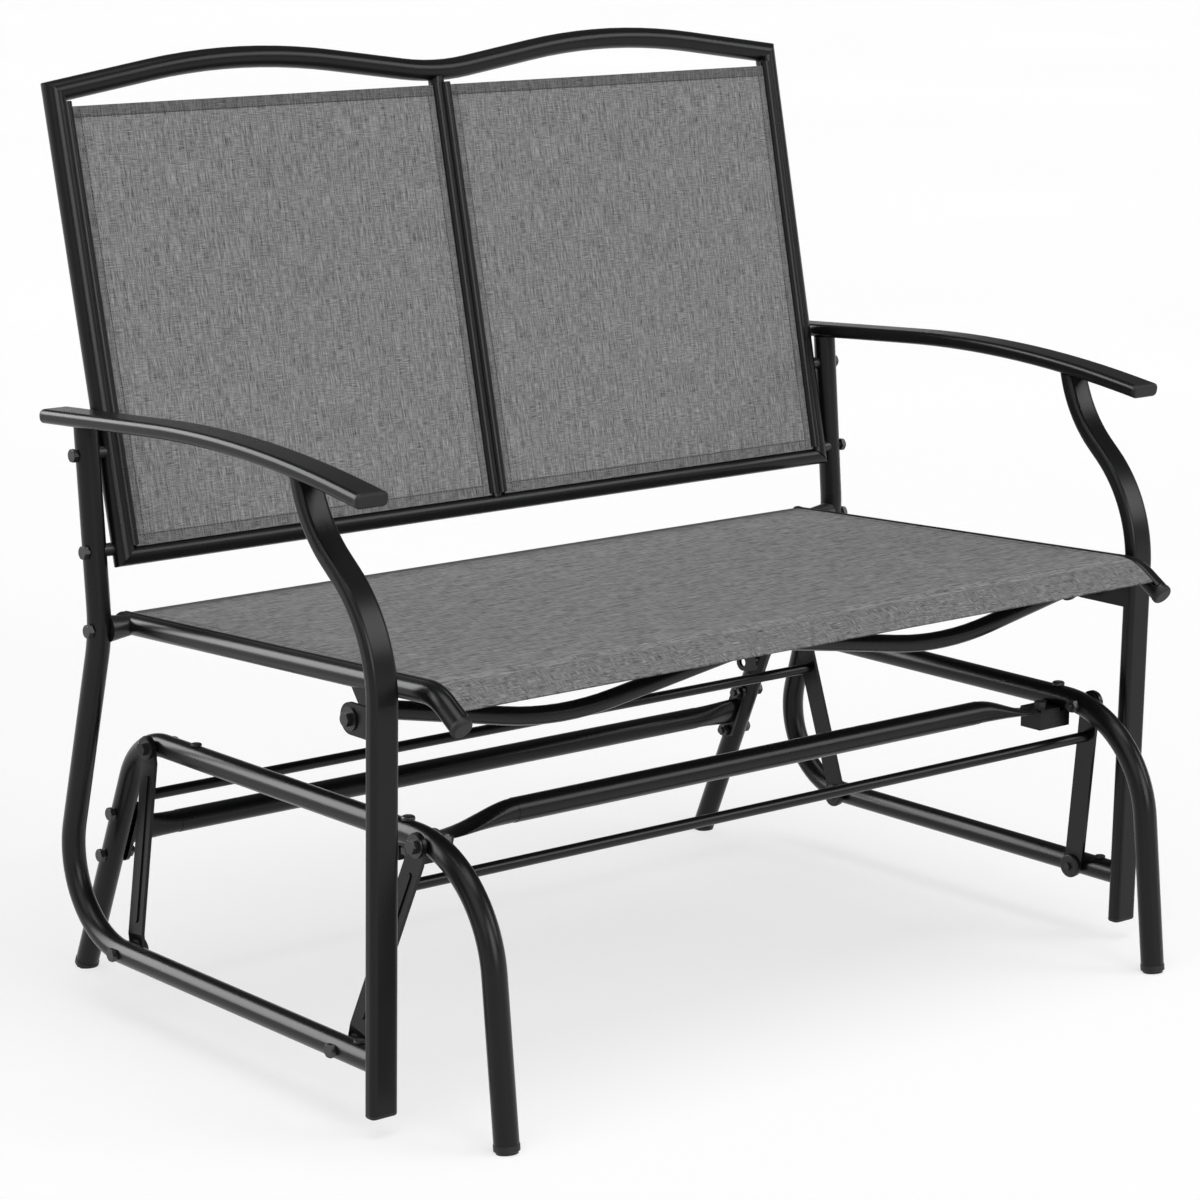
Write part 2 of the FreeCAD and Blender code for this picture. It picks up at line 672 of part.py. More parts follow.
def bush(x, at, flange_side, clearance, hole_d):
    """Plastic bush in a link eye, with its flange on the side of the tube."""
    bore_d = PIVOT_BOLT_D + 2 * clearance
    sleeve_d = hole_d - 2 * SPIGOT_CLEARANCE
    flange_x = x - BUSH_FLANGE_T if flange_side < 0 else x + LINK_THICKNESS
    flange = x_rod(flange_x, flange_x + BUSH_FLANGE_T, at, BUSH_FLANGE_D)
    sleeve = x_rod(x, x + LINK_THICKNESS, at, sleeve_d)
    return flange.fuse(sleeve).cut(x_rod(-FAR, FAR, at, bore_d))


def build_swing(name, top, low, rod_drop, low_clearance, low_hole_d):
    """Two links joined by a tie rod, with their bushes."""
    right = link(top, low, low_hole_d)
    save_sides(name + "_link", right)
    at = top + (low - top).normalize() * rod_drop
    long_rod = x_rod(-SIDE_X, SIDE_X, at, TIE_ROD_D)
    save(name + "_tie_rod", [largest(long_rod.cut(right).cut(mirrored(right)))])
    save(name + "_upper_bushes", pair(bush(LINK_TOP_X, top, -1, PIVOT_CLEARANCE, LINK_HOLE_D)))
    save(name + "_lower_bushes", pair(bush(LINK_LOW_X, low, 1, low_clearance, low_hole_d)))


# Seat carriage

def post_line_y(z):
    """Y of the rear post's upper run at a height."""
    return POST_KNEE_Y + math.tan(math.radians(POST_UPPER_LEAN_DEG)) * (z - POST_KNEE_HEIGHT)


def side_path():
    """Axis of the rear post and runner, from under the armrest to the front post."""
    lower_lean = math.tan(math.radians(POST_LOWER_LEAN_DEG))
    corner_y = POST_KNEE_Y + lower_lean * (POST_KNEE_HEIGHT - RUNNER_HEIGHT)
    top_z = ARM_REAR[1] + ARM_THICKNESS / 2
    return filleted_path(
        in_plane(
            SIDE_X,
            [
                (post_line_y(top_z), top_z),
                (POST_KNEE_Y, POST_KNEE_HEIGHT),
                (corner_y, RUNNER_HEIGHT),
                (FRONT_POST_Y, RUNNER_HEIGHT),
            ],
        ),
        [POST_BEND_R, SIDE_BEND_R],
    )


def front_post_path():
    """Axis of the front post, from its free lower end to the armrest."""
    lower = in_plane(SIDE_X, [(FRONT_POST_Y, FRONT_POST_BOTTOM), FRONT_POST_KNEE])
    upper = in_plane(SIDE_X + FRONT_POST_FLARE, [FRONT_POST_SHOULDER, (FRONT_POST_TOP_Y, ARM_CREST[1])])
    return filleted_path(lower + upper, [FRONT_POST_KNEE_R, FRONT_POST_SHOULDER_R])


def rounded_rectangle(centre, u, v, width, height, corner):
    """A rectangle with round corners in the plane of u and v."""
    a = width / 2 - corner
    b = height / 2 - corner
    edges = []
    angles = (0, 90, 180, 270)
    middles = ((a, b), (-a, b), (-a, -b), (a, -b))
    ends = []
    for (mu, mv), angle in zip(middles, angles):
        points = []
        for step in (0, 45, 90):
            turn = math.radians(angle + step)
            points.append(
                centre + u * (mu + corner * math.cos(turn)) + v * (mv + corner * math.sin(turn))
            )
        edges.append(Part.Arc(*points).toShape())
        ends.append((points[0], points[2]))
    for k in range(4):
        edges.append(Part.LineSegment(ends[k][1], ends[(k + 1) % 4][0]).toShape())
    return Part.Wire(Part.__sortEdges__(edges))


def flat_bar(path, width, height, corner):
    """A bar of rounded rectangular section along a path in the side view."""
    edge = path.OrderedEdges[0]
    direction = edge.tangentAt(edge.FirstParameter)
    start = edge.valueAt(edge.FirstParameter)
    across = Vector(1, 0, 0)
    profile = rounded_rectangle(start, across, direction.cross(across), width, height, corner)
    return path.makePipeShell([profile], True, False)


def arm_path():
    """Axis of the armrest, from its rear to its front end."""
    points = in_plane(ARM_X, [ARM_REAR, ARM_CREST, ARM_FRONT])
    return filleted_path(points, [bend_radius(*points, ARM_CREST_REACH)])


def arm_bar():
    """The armrest's outer form, filled."""
    return flat_bar(arm_path(), ARM_WIDTH, ARM_THICKNESS, ARM_EDGE_R)


def armrest():
    """Curved flat armrest tube."""
    hollow = flat_bar(
        arm_path(), ARM_WIDTH - 2 * ARM_WALL, ARM_THICKNESS - 2 * ARM_WALL, ARM_EDGE_R - ARM_WALL
    )
    return arm_bar().cut(hollow)


def arm_plug(end, neighbour):
    """Plug in an open end of the armrest."""
    outward = (Vector(ARM_X, *end) - Vector(ARM_X, *neighbour)).normalize()
    seat = Vector(ARM_X, *end)
    head = flat_bar(straight(seat, seat + outward * ARM_PLUG_T), ARM_WIDTH, ARM_THICKNESS, ARM_EDGE_R)
    lip = max(head.Faces, key=lambda face: face.CenterOfMass.dot(outward))
    head = head.makeFillet(ARM_PLUG_T * CAP_RIM_SHARE, lip.Edges)
    shrink = 2 * ARM_WALL + 2 * SPIGOT_CLEARANCE
    spigot = flat_bar(
        straight(seat - outward * ARM_PLUG_DEPTH, seat),
        ARM_WIDTH - shrink,
        ARM_THICKNESS - shrink,
        ARM_EDGE_R - ARM_WALL,
    )
    return head.fuse(spigot)


def above_arm():
    """All that lies over the armrest's underside, for trimming the posts."""
    path = arm_path()
    skin = flat_bar(path, 3 * ARM_WIDTH, ARM_THICKNESS, ARM_WALL)
    lifted = skin.copy()
    lifted.translate(Vector(0, 0, ARM_THICKNESS - 2 * ARM_WALL))
    return skin.fuse(lifted)


def rail_line_z(y):
    """Height of the seat rail's axis on its straight run."""
    share = (RAIL_REAR[0] - y) / (RAIL_REAR[0] - RAIL_NOSE[0])
    return RAIL_REAR[1] + share * (RAIL_NOSE[1] - RAIL_REAR[1])


def rail_path(x, lift=0.0, points=(RAIL_REAR, RAIL_NOSE, RAIL_FRONT)):
    """Axis of a seat rail, or a line beside it."""
    return filleted_path(in_plane(x, [(y, z + lift) for y, z in points]), [RAIL_NOSE_R])


def rail_bar():
    """Seat rail with its sling track, filled."""
    main = round_bar(rail_path(RAIL_X), RAIL_D)
    return main.fuse(round_bar(rail_path(RAIL_X - SEAT_TRACK_IN, SEAT_TRACK_OUT), SEAT_TRACK_D))


def sling_profile(rear, front_trim):
    """Ends of the seat sling on the rail line."""
    nose, front = Vector(0, *RAIL_NOSE), Vector(0, *RAIL_FRONT)
    end = front + (nose - front).normalize() * front_trim
    return ((rear, rail_line_z(rear)), RAIL_NOSE, (end.y, end.z))


def sheet_along(points, lift, thickness, half_width):
    """A flat-edged sheet that follows the seat rails, between two sides."""
    low = rail_path(-half_width, lift - thickness / 2, points)
    high = rail_path(-half_width, lift + thickness / 2, points)
    ends = [(low.OrderedVertexes[k].Point, high.OrderedVertexes[k].Point) for k in (0, -1)]
    edges = low.Edges + high.Edges + [Part.LineSegment(*end).toShape() for end in ends]
    outline = Part.Wire(Part.__sortEdges__(edges))
    return Part.Face(outline).extrude(Vector(2 * half_width, 0, 0))


SEAT_TRACK_CHORD = math.sqrt(SEAT_TRACK_R**2 - (SEAT_SLING_LIFT - SEAT_TRACK_OUT) ** 2)
SEAT_TRACK_FACE = RAIL_X - SEAT_TRACK_IN - SEAT_TRACK_CHORD
SEAT_BOLT = Vector(0, RAIL_BOLT_Y, rail_line_z(RAIL_BOLT_Y))
LUG_Y = FRONT_POST_Y + LUG_REACH
LUG_BOLT = Vector(0, LUG_Y, rail_line_z(LUG_Y) - LUG_DROP)
LUG_X = SIDE_X - FRONT_POST_WIDTH / 2
HANGER_X = RAIL_X - LUG_T / 2


def seat_sling():
    """Taut seat cloth between the two rail tracks."""
    points = sling_profile(SEAT_SLING_REAR_Y, SEAT_SLING_FRONT_MARGIN)
    return sheet_along(points, SEAT_SLING_LIFT, SLING_T, SEAT_TRACK_FACE + SLING_INSERT)


def seat_rail():
    """Right seat rail: round tube, sling track, and its bolt holes."""
    tube = rail_bar().cut(round_bar(rail_path(RAIL_X), RAIL_D - 2 * RAIL_WALL))
    whole = (RAIL_REAR, RAIL_NOSE, RAIL_FRONT)
    slot_t = SLING_T + 2 * SLING_CLEARANCE
    tube = largest(tube.cut(sheet_along(whole, SEAT_SLING_LIFT, slot_t, SEAT_TRACK_FACE + SLOT_DEPTH)))
    return tube.cut(x_rod(RAIL_X, RAIL_X + RAIL_D, SEAT_BOLT, BOLT_D + 2 * BOLT_HOLE_CLEARANCE))


def rail_cap(end, neighbour, thickness):
    """Domed cap in an open end of a seat rail."""
    seat = Vector(RAIL_X, *end)
    outward = (seat - Vector(RAIL_X, *neighbour)).normalize()
    disc = Part.makeCylinder(RAIL_R + RAIL_CAP_LIP, thickness, seat, outward)
    rim = max(disc.Edges, key=lambda edge: edge.CenterOfMass.dot(outward))
    disc = disc.makeFillet(thickness * CAP_RIM_SHARE, [rim])
    spigot_d = RAIL_D - 2 * RAIL_WALL - 2 * SPIGOT_CLEARANCE
    return disc.fuse(rod(seat - outward * SPIGOT_DEPTH, seat, spigot_d))


def spreader(y, end_drop, holder):
    """Bowed bar that keeps the two seat rails apart, low under each seat."""
    z = rail_line_z(y)
    points = [
        Vector(-RAIL_X, y, z - end_drop),
        Vector(-SPREADER_DIP_X, y, z - SPREADER_DIP),
        Vector(0, y, z - SPREADER_CREST),
        Vector(SPREADER_DIP_X, y, z - SPREADER_DIP),
        Vector(RAIL_X, y, z - end_drop),
    ]
    path = filleted_path(points, [SPREADER_DIP_R, SPREADER_CREST_R, SPREADER_DIP_R])
    bar = round_tube(path, SPREADER_D, SPREADER_WALL)
    return largest(bar.cut(holder).cut(mirrored(holder)))


def post_lug():
    """Round-ended plate on the back of the front post that carries the seat rail."""
    start = Vector(LUG_X, post_back_y(LUG_BOLT.z), LUG_BOLT.z)
    end = Vector(LUG_X, LUG_BOLT.y, LUG_BOLT.z)
    plate = slot_prism(start, end, 2 * LUG_R, Vector(1, 0, 0), LUG_T)
    plate = largest(plate.cut(front_post_bar()))
    return plate.cut(x_rod(0, FAR, LUG_BOLT, BOLT_D + 2 * BOLT_HOLE_CLEARANCE))


def rail_hanger():
    """Tapered plate under the seat rail, bolted to the post's lug."""
    bolt = LUG_BOLT
    outline = [
        (bolt.y + HANGER_HALF_LENGTH, rail_line_z(bolt.y + HANGER_HALF_LENGTH)),
        (bolt.y + LUG_R, bolt.z),
        (bolt.y - LUG_R, bolt.z),
        (bolt.y - HANGER_HALF_LENGTH, rail_line_z(bolt.y - HANGER_HALF_LENGTH)),
    ]
    ring = in_plane(HANGER_X, outline + outline[:1])
    plate = Part.Face(Part.makePolygon(ring)).extrude(Vector(LUG_T, 0, 0))
    plate = plate.fuse(x_rod(HANGER_X, HANGER_X + LUG_T, bolt, 2 * LUG_R)).removeSplitter()
    plate = largest(plate.cut(rail_bar()))
    return plate.cut(x_rod(0, FAR, bolt, BOLT_D + 2 * BOLT_HOLE_CLEARANCE))


def post_back_y(z):
    """A line just inside the rear face of the front post's lower run."""
    share = (z - FRONT_POST_BOTTOM) / (FRONT_POST_KNEE[1] - FRONT_POST_BOTTOM)
    return FRONT_POST_Y + share * (FRONT_POST_KNEE[0] - FRONT_POST_Y)


def front_post_bar():
    """Front post's outer form, filled."""
    return flat_bar(front_post_path(), FRONT_POST_WIDTH, FRONT_POST_DEPTH, FRONT_POST_CORNER_R)


def front_post():
    """Flat front post with its swept upper end, trimmed to the armrest."""
    hollow = flat_bar(
        front_post_path(),
        FRONT_POST_WIDTH - 2 * FRONT_POST_WALL,
        FRONT_POST_DEPTH - 2 * FRONT_POST_WALL,
        FRONT_POST_CORNER_R - FRONT_POST_WALL,
    )
    return largest(front_post_bar().cut(hollow).cut(above_arm()))


def post_cap():
    """Plug in the lower end of the front post."""
    seat = Vector(SIDE_X, FRONT_POST_Y, FRONT_POST_BOTTOM)
    up = (Vector(SIDE_X, *FRONT_POST_KNEE) - seat).normalize()
    head = flat_bar(
        straight(seat, seat - up * POST_CAP_T), FRONT_POST_WIDTH, FRONT_POST_DEPTH, FRONT_POST_CORNER_R
    )
    lip = min(head.Faces, key=lambda face: face.CenterOfMass.dot(up))
    head = head.makeFillet(POST_CAP_T * CAP_RIM_SHARE, lip.Edges)
    shrink = 2 * FRONT_POST_WALL + 2 * SPIGOT_CLEARANCE
    spigot = flat_bar(
        straight(seat, seat + up * FRONT_POST_DEPTH),
        FRONT_POST_WIDTH - shrink,
        FRONT_POST_DEPTH - shrink,
        FRONT_POST_CORNER_R - FRONT_POST_WALL,
    )
    return head.fuse(spigot)


def back_bolt_at(height):
    """Side-view place of a bolt that joins the back frame to the rear post."""
    frame_y = BACK_Y + math.tan(math.radians(BACK_LEAN_DEG)) * (height - BACK_Z)
    return Vector(0, (frame_y + post_line_y(height)) / 2, height)


BACK_BOLTS = [back_bolt_at(height) for height in BACK_BOLT_HEIGHTS]


def side_tube():
    """Rear post and runner in one bent tube."""
    tube = round_tube(side_path(), SIDE_TUBE_D, SIDE_WALL)
    tube = largest(tube.cut(above_arm()).cut(front_post_bar()))
    hole_d = BOLT_D + 2 * BOLT_HOLE_CLEARANCE
    for at in [REAR_LOW, FRONT_LOW, SEAT_BOLT] + BACK_BOLTS:
        tube = tube.cut(x_rod(SIDE_X - SIDE_TUBE_D, SIDE_X + SIDE_TUBE_D, at, hole_d))
    drain = Vector(SIDE_X, RUNNER_PLUG_Y, RUNNER_HEIGHT)
    return tube.cut(rod(drain, drain + Vector(0, 0, SIDE_TUBE_D), PLUG_D))


def lower_pivot(at):
    """Lower pivot bolt through the runner, with the broad nut inside the link."""
    inward = Vector(-1, 0, 0)
    head_x = SIDE_X + SIDE_R
    disc_x = LINK_LOW_X - BODY_GAP
    tip = DISC_NUT_T + BOLT_TIP
    bolt = hex_bolt(Vector(head_x, at.y, at.z), inward, head_x - disc_x + tip)
    disc = Part.makeCylinder(DISC_NUT_D / 2, DISC_NUT_T, Vector(disc_x, at.y, at.z), inward)
    rim = min(disc.Edges, key=lambda edge: edge.CenterOfMass.x)
    disc = disc.makeFillet(DISC_NUT_T * CAP_RIM_SHARE, [rim])
    return bolt, disc.cut(x_rod(0, FAR, at, BOLT_D + 2 * THREAD_CLEARANCE))


def between(at, outer, inner, x0, x1):
    """Spacer sleeve that fills the room between two tubes."""
    sleeve = x_rod(x0, x1, at, SPACER_D).cut(outer).cut(inner)
    sleeve = largest(sleeve)
    return sleeve.cut(x_rod(0, FAR, at, BOLT_D + 2 * BOLT_HOLE_CLEARANCE))


def seat_saddle(post, rail):
    """Flared saddle that carries the rear end of a seat rail on the rear post."""
    post_x = SIDE_X - SIDE_R + SADDLE_WRAP
    start = Vector(RAIL_X, SEAT_BOLT.y, SEAT_BOLT.z)
    flare = Part.makeCone(SADDLE_RAIL_D / 2, SADDLE_POST_D / 2, post_x - RAIL_X, start, Vector(1, 0, 0))
    saddle = largest(flare.cut(post).cut(rail))
    return saddle.cut(x_rod(0, FAR, SEAT_BOLT, BOLT_D + 2 * BOLT_HOLE_CLEARANCE))


def rivet_bolt(at, tube_x):
    """Bolt through the rear post into a rivet nut inside a tube."""
    head_x = SIDE_X + SIDE_R
    bolt = hex_bolt(Vector(head_x, at.y, at.z), Vector(-1, 0, 0), head_x - tube_x + BOLT_TIP)
    collar = x_rod(tube_x, tube_x + RIVET_NUT_LENGTH, at, RIVET_NUT_D)
    return bolt, collar.cut(x_rod(0, FAR, at, BOLT_D + 2 * THREAD_CLEARANCE))


# Back frame

def leaned(shape):
    """Lean a piece of the upright back frame back and set it in place."""
    placed = shape.copy()
    placed.rotate(Vector(0, 0, 0), Vector(1, 0, 0), -BACK_LEAN_DEG)
    placed.translate(Vector(0, BACK_Y, BACK_Z))
    return placed


TOP_CORNER = Vector(STILE_X + STILE_FLARE, 0, TOP_CORNER_V)
TOP_CREST = Vector(TOP_CREST_X, 0, TOP_CREST_V)
FOOT_CORNER = Vector(STILE_X, 0, 0)
RAIL_INWARD = (TOP_CREST - TOP_CORNER).normalize()
STILE_UPWARD = (TOP_CORNER - FOOT_CORNER).normalize()
FOOT_INWARD = Vector(-1, 0, 0)


def top_bar(diameter):
    """Double-arched bar of the top rail, run on straight past both corners."""
    end = TOP_CORNER - RAIL_INWARD * (2 * STILE_D)
    valley = Vector(0, 0, TOP_VALLEY_V)
    points = [mirror_x(end), mirror_x(TOP_CREST), valley, TOP_CREST, end]
    valley_r = bend_radius(points[1], valley, TOP_CREST, TOP_VALLEY_REACH)
    crest_r = bend_radius(valley, TOP_CREST, end, TOP_CREST_REACH)
    return round_bar(filleted_path(points, [crest_r, valley_r, crest_r]), diameter)


def mitred(shape, corner, along, width, other, other_width):
    """Trim a bar at the corner where it meets another, given both directions from there and widths."""
    side = Vector(0, 1, 0)
    up = (along * other_width + other * width).normalize()
    normal = side.cross(up)
    if normal.dot(along) < 0:
        normal = normal * -1
    ring = []
    for a, b in ((-1, -1), (1, -1), (1, 1), (-1, 1), (-1, -1)):
        ring.append(corner + up * (a * FAR) + side * (b * FAR))
    return shape.common(Part.Face(Part.makePolygon(ring)).extrude(normal * FAR))


def flared(x, v):
    """X of a line along the stile, which leans outward a little."""
    return x + STILE_FLARE * v / TOP_CORNER_V


def stile_run(x, n, diameter, low, high):
    """A straight bar beside a stile, between two heights."""
    return rod(Vector(flared(x, low), n, low), Vector(flared(x, high), n, high), diameter)


def stile_bar():
    """Right stile with its sling track, filled and upright."""
    bar = stile_run(STILE_X, 0, STILE_D, -STILE_D, TOP_CORNER_V + STILE_D)
    bar = mitred(bar, TOP_CORNER, STILE_UPWARD * -1, STILE_D, RAIL_INWARD, TOP_RAIL_D)
    bar = mitred(bar, FOOT_CORNER, STILE_UPWARD, STILE_D, FOOT_INWARD, BOTTOM_RAIL_D)
    track_top = TOP_CORNER_V - TOP_RAIL_D / 2
    return bar.fuse(stile_run(STILE_X - TRACK_IN, -TRACK_OUT, TRACK_D, BOTTOM_RAIL_D / 2, track_top))


def stile():
    """Right stile of the back frame."""
    bore = stile_run(STILE_X, 0, STILE_D - 2 * STILE_WALL, -STILE_D, TOP_CORNER_V + STILE_D)
    slot_half = SLING_T / 2 + SLING_CLEARANCE
    face_x = STILE_X - TRACK_IN - TRACK_R
    corners = [(-TRACK_R, -FAR), (SLOT_DEPTH, -FAR), (SLOT_DEPTH, FAR), (-TRACK_R, FAR)]
    ring = []
    for x, v in corners + corners[:1]:
        ring.append(Vector(flared(face_x + x, v), -TRACK_OUT - slot_half, v))
    slot = Part.Face(Part.makePolygon(ring)).extrude(Vector(0, 2 * slot_half, 0))
    tube = leaned(largest(stile_bar().cut(bore).cut(slot)))
    for at in BACK_BOLTS:
        tube = tube.cut(x_rod(STILE_X, STILE_X + STILE_D, at, BOLT_D + 2 * BOLT_HOLE_CLEARANCE))
    return tube


def top_rail():
    """Double-arched top rail, mitred to the stiles."""
    tube = top_bar(TOP_RAIL_D).cut(top_bar(TOP_RAIL_D - 2 * TOP_RAIL_WALL))
    for _ in range(2):
        tube = mirrored(mitred(tube, TOP_CORNER, RAIL_INWARD, TOP_RAIL_D, STILE_UPWARD * -1, STILE_D))
    return leaned(tube)


def bottom_rail_bar(diameter):
    """Straight bar of the bottom rail, run on past both corners."""
    end = FOOT_CORNER - FOOT_INWARD * STILE_D
    return rod(mirror_x(end), end, diameter)


def bottom_rail():
    """Straight bottom rail, mitred to the stiles."""
    tube = bottom_rail_bar(BOTTOM_RAIL_D).cut(bottom_rail_bar(BOTTOM_RAIL_D - 2 * BOTTOM_RAIL_WALL))
    for _ in range(2):
        tube = mirrored(mitred(tube, FOOT_CORNER, FOOT_INWARD, BOTTOM_RAIL_D, STILE_UPWARD, STILE_D))
    return leaned(tube)


def centre_bar():
    """Upright in the middle with a sling track on each side."""
    low = Vector(0, 0, 0)
    high = Vector(0, 0, TOP_CREST_V)
    bar = rod(low, high, CENTRE_BAR_D)
    reach = centre_track_x()
    track_top = TOP_VALLEY_V - TOP_RAIL_D / 2
    for side in (-1, 1):
        foot = Vector(side * reach, -TRACK_OUT, BOTTOM_RAIL_D / 2)
        head = Vector(side * reach, -TRACK_OUT, track_top)
        bar = bar.fuse(rod(foot, head, TRACK_D))
    bar = bar.cut(rod(low, high, CENTRE_BAR_D - 2 * CENTRE_WALL))
    slot_half = SLING_T / 2 + SLING_CLEARANCE
    slot_x = reach + TRACK_R - SLOT_DEPTH
    for start in (slot_x, -slot_x - TRACK_D):
        corner = Vector(start, -TRACK_OUT - slot_half, -FAR / 2)
        bar = bar.cut(Part.makeBox(TRACK_D, 2 * slot_half, FAR, corner))
    return leaned(largest(bar.cut(bottom_rail_bar(BOTTOM_RAIL_D)).cut(top_bar(TOP_RAIL_D))))


def centre_track_x():
    """Distance of a centre track from the middle plane."""
    return TRACK_R - SLING_T / 2


def back_sling():
    """Right back cloth, straight along its top under the arched rail."""
    inner_x = centre_track_x() + TRACK_R - SLING_INSERT
    outer_x = STILE_X - TRACK_IN - TRACK_R + SLING_INSERT
    front = -TRACK_OUT - SLING_T / 2
    low = math.sqrt((BOTTOM_RAIL_D / 2) ** 2 - (front + SLING_T) ** 2) + SLING_CLEARANCE
    high = BACK_SLING_TOP_V
    corners = [(inner_x, low), (flared(outer_x, low), low), (flared(outer_x, high), high), (inner_x, high)]
    ring = [Vector(x, front, v) for x, v in corners + corners[:1]]
    return leaned(Part.Face(Part.makePolygon(ring)).extrude(Vector(0, SLING_T, 0)))


def build_carriage():
    """Everything that swings: side frames, seat and back."""
    tube = side_tube()
    save_sides("side_tube", tube)
    save_sides("front_post", front_post())
    save("front_post_caps", pair(post_cap()))
    save_sides("armrest", armrest())
    plugs = [arm_plug(ARM_REAR, ARM_CREST), arm_plug(ARM_FRONT, ARM_CREST)]
    save("armrest_plugs", [side for plug in plugs for side in pair(plug)])
    save_sides("seat_rail", seat_rail())
    caps = [rail_cap(RAIL_FRONT, RAIL_NOSE, RAIL_CAP_T), rail_cap(RAIL_REAR, RAIL_NOSE, RAIL_REAR_CAP_T)]
    save("seat_rail_caps", [side for cap in caps for side in pair(cap)])
    hanger = rail_hanger()
    save("front_spreader", [spreader(FRONT_SPREADER_Y, FRONT_SPREADER_DROP, hanger)])
    save("rear_spreader", [spreader(REAR_SPREADER_Y, 0, rail_bar())])
    save("post_lugs", pair(post_lug()))
    save("rail_hangers", pair(hanger))
    save("runner_plugs", pair(plug(Vector(SIDE_X, RUNNER_PLUG_Y, RUNNER_HEIGHT + SIDE_R))))
    save("seat_sling", [seat_sling()])
    save_sides("back_stile", stile())
    save("back_top_rail", [top_rail()])
    save("back_bottom_rail", [bottom_rail()])
    save("back_centre_bar", [centre_bar()])
    save_sides("back_sling", back_sling())
    pivots = [lower_pivot(REAR_LOW), lower_pivot(FRONT_LOW)]
    save("lower_pivot_bolts", [side for bolt, _ in pivots for side in pair(bolt)])
    save("lower_pivot_nuts", [side for _, disc in pivots for side in pair(disc)])
    build_frame_fasteners()


def build_frame_fasteners():
    """Bolts, nuts and spacers that hold the seat and back to the side frames."""
    post = round_bar(side_path(), SIDE_TUBE_D)
    frame = leaned(stile_bar())
    rail = rail_bar()
    bolts = []
    spacers = []
    for at in BACK_BOLTS:
        spacers.append(between(at, post, frame, STILE_X, SIDE_X))
        bolts.append(rivet_bolt(at, STILE_X - RIVET_NUT_INSET))
    spacers.append(seat_saddle(post, rail))
    bolts.append(rivet_bolt(SEAT_BOLT, RAIL_X - RIVET_NUT_INSET))
    sleeve = x_rod(HANGER_X + LUG_T, LUG_X, LUG_BOLT, SPACER_D)
    spacers.append(sleeve.cut(x_rod(0, FAR, LUG_BOLT, BOLT_D + 2 * BOLT_HOLE_CLEARANCE)))
    inward = Vector(-1, 0, 0)
    washer_x = LUG_X + LUG_T
    washer = x_rod(washer_x, washer_x + WASHER_T, LUG_BOLT, WASHER_D)
    seat = Vector(washer_x + WASHER_T, LUG_BOLT.y, LUG_BOLT.z)
    lug_bolt = hex_bolt(seat, inward, seat.x - HANGER_X + NUT_HEIGHT + BOLT_TIP)
    bolts.append((washer.fuse(lug_bolt), nut(Vector(HANGER_X, LUG_BOLT.y, LUG_BOLT.z), inward)))
    save("frame_bolts", [side for bolt, _ in bolts for side in pair(bolt)])
    save("frame_nuts", [side for _, piece in bolts for side in pair(piece)])
    save("frame_spacers", [side for spacer in spacers for side in pair(spacer)])


os.makedirs("parts", exist_ok=True)
build_base()
build_swing("rear", REAR_TOP, REAR_LOW, REAR_ROD_DROP, PIVOT_CLEARANCE, LINK_HOLE_D)
build_swing("front", FRONT_TOP, FRONT_LOW, FRONT_ROD_DROP, OPEN_PIVOT_CLEARANCE, OPEN_PIVOT_HOLE_D)
build_carriage()
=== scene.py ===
"""Looks of the two-seat patio glider bench: coated tubes, woven slings, stitching and studio light."""
import json
import logging
import math
from dataclasses import dataclass, field, replace
from enum import Enum
from typing import Any

import bpy
from mathutils import Matrix, Vector


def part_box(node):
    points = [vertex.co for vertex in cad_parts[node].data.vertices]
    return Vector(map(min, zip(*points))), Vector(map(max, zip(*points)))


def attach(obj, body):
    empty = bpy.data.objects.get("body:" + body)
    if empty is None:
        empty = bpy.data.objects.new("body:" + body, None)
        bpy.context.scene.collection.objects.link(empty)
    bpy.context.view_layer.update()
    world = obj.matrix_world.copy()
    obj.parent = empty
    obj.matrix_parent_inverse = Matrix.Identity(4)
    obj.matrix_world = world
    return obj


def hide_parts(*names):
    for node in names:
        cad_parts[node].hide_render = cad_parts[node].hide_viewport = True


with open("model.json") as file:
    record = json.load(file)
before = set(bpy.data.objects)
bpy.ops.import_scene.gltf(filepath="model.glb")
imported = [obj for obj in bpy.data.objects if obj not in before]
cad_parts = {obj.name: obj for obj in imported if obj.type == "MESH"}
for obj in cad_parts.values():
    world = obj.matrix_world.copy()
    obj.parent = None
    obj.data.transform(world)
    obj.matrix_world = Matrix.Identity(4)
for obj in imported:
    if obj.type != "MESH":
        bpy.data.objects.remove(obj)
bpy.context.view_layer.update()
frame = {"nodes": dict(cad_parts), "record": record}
LOG = logging.getLogger("glider_bench")

Colour = tuple[float, float, float]
Span = tuple[float, float]

BLACK: Colour = (0.0, 0.0, 0.0)
WHITE: Colour = (1.0, 1.0, 1.0)

# Body that the slings ride on
CARRIAGE = "carriage"

# Mean value of a noise node
NOISE_MEAN = 0.5

# Sockets of a Mix node that mixes colours
MIX_SHARE = 0
MIX_FIRST = 6
MIX_SECOND = 7
MIX_RESULT = 2


class Slot(Enum):
    """Material slots of the record."""

    FRAME = "frame"
    FASTENER = "fastener"
    PLASTIC = "plastic"
    SLING = "sling"


class ClothFinish(Enum):
    """Places on a sling that have a look of their own, in the order of its material slots; the doubled,
    turned and roll looks are darker copies of the weave that paint shade on them.
    """

    SINGLE = 0
    DOUBLED = 1
    TURNED = 2
    ROLLED = 3


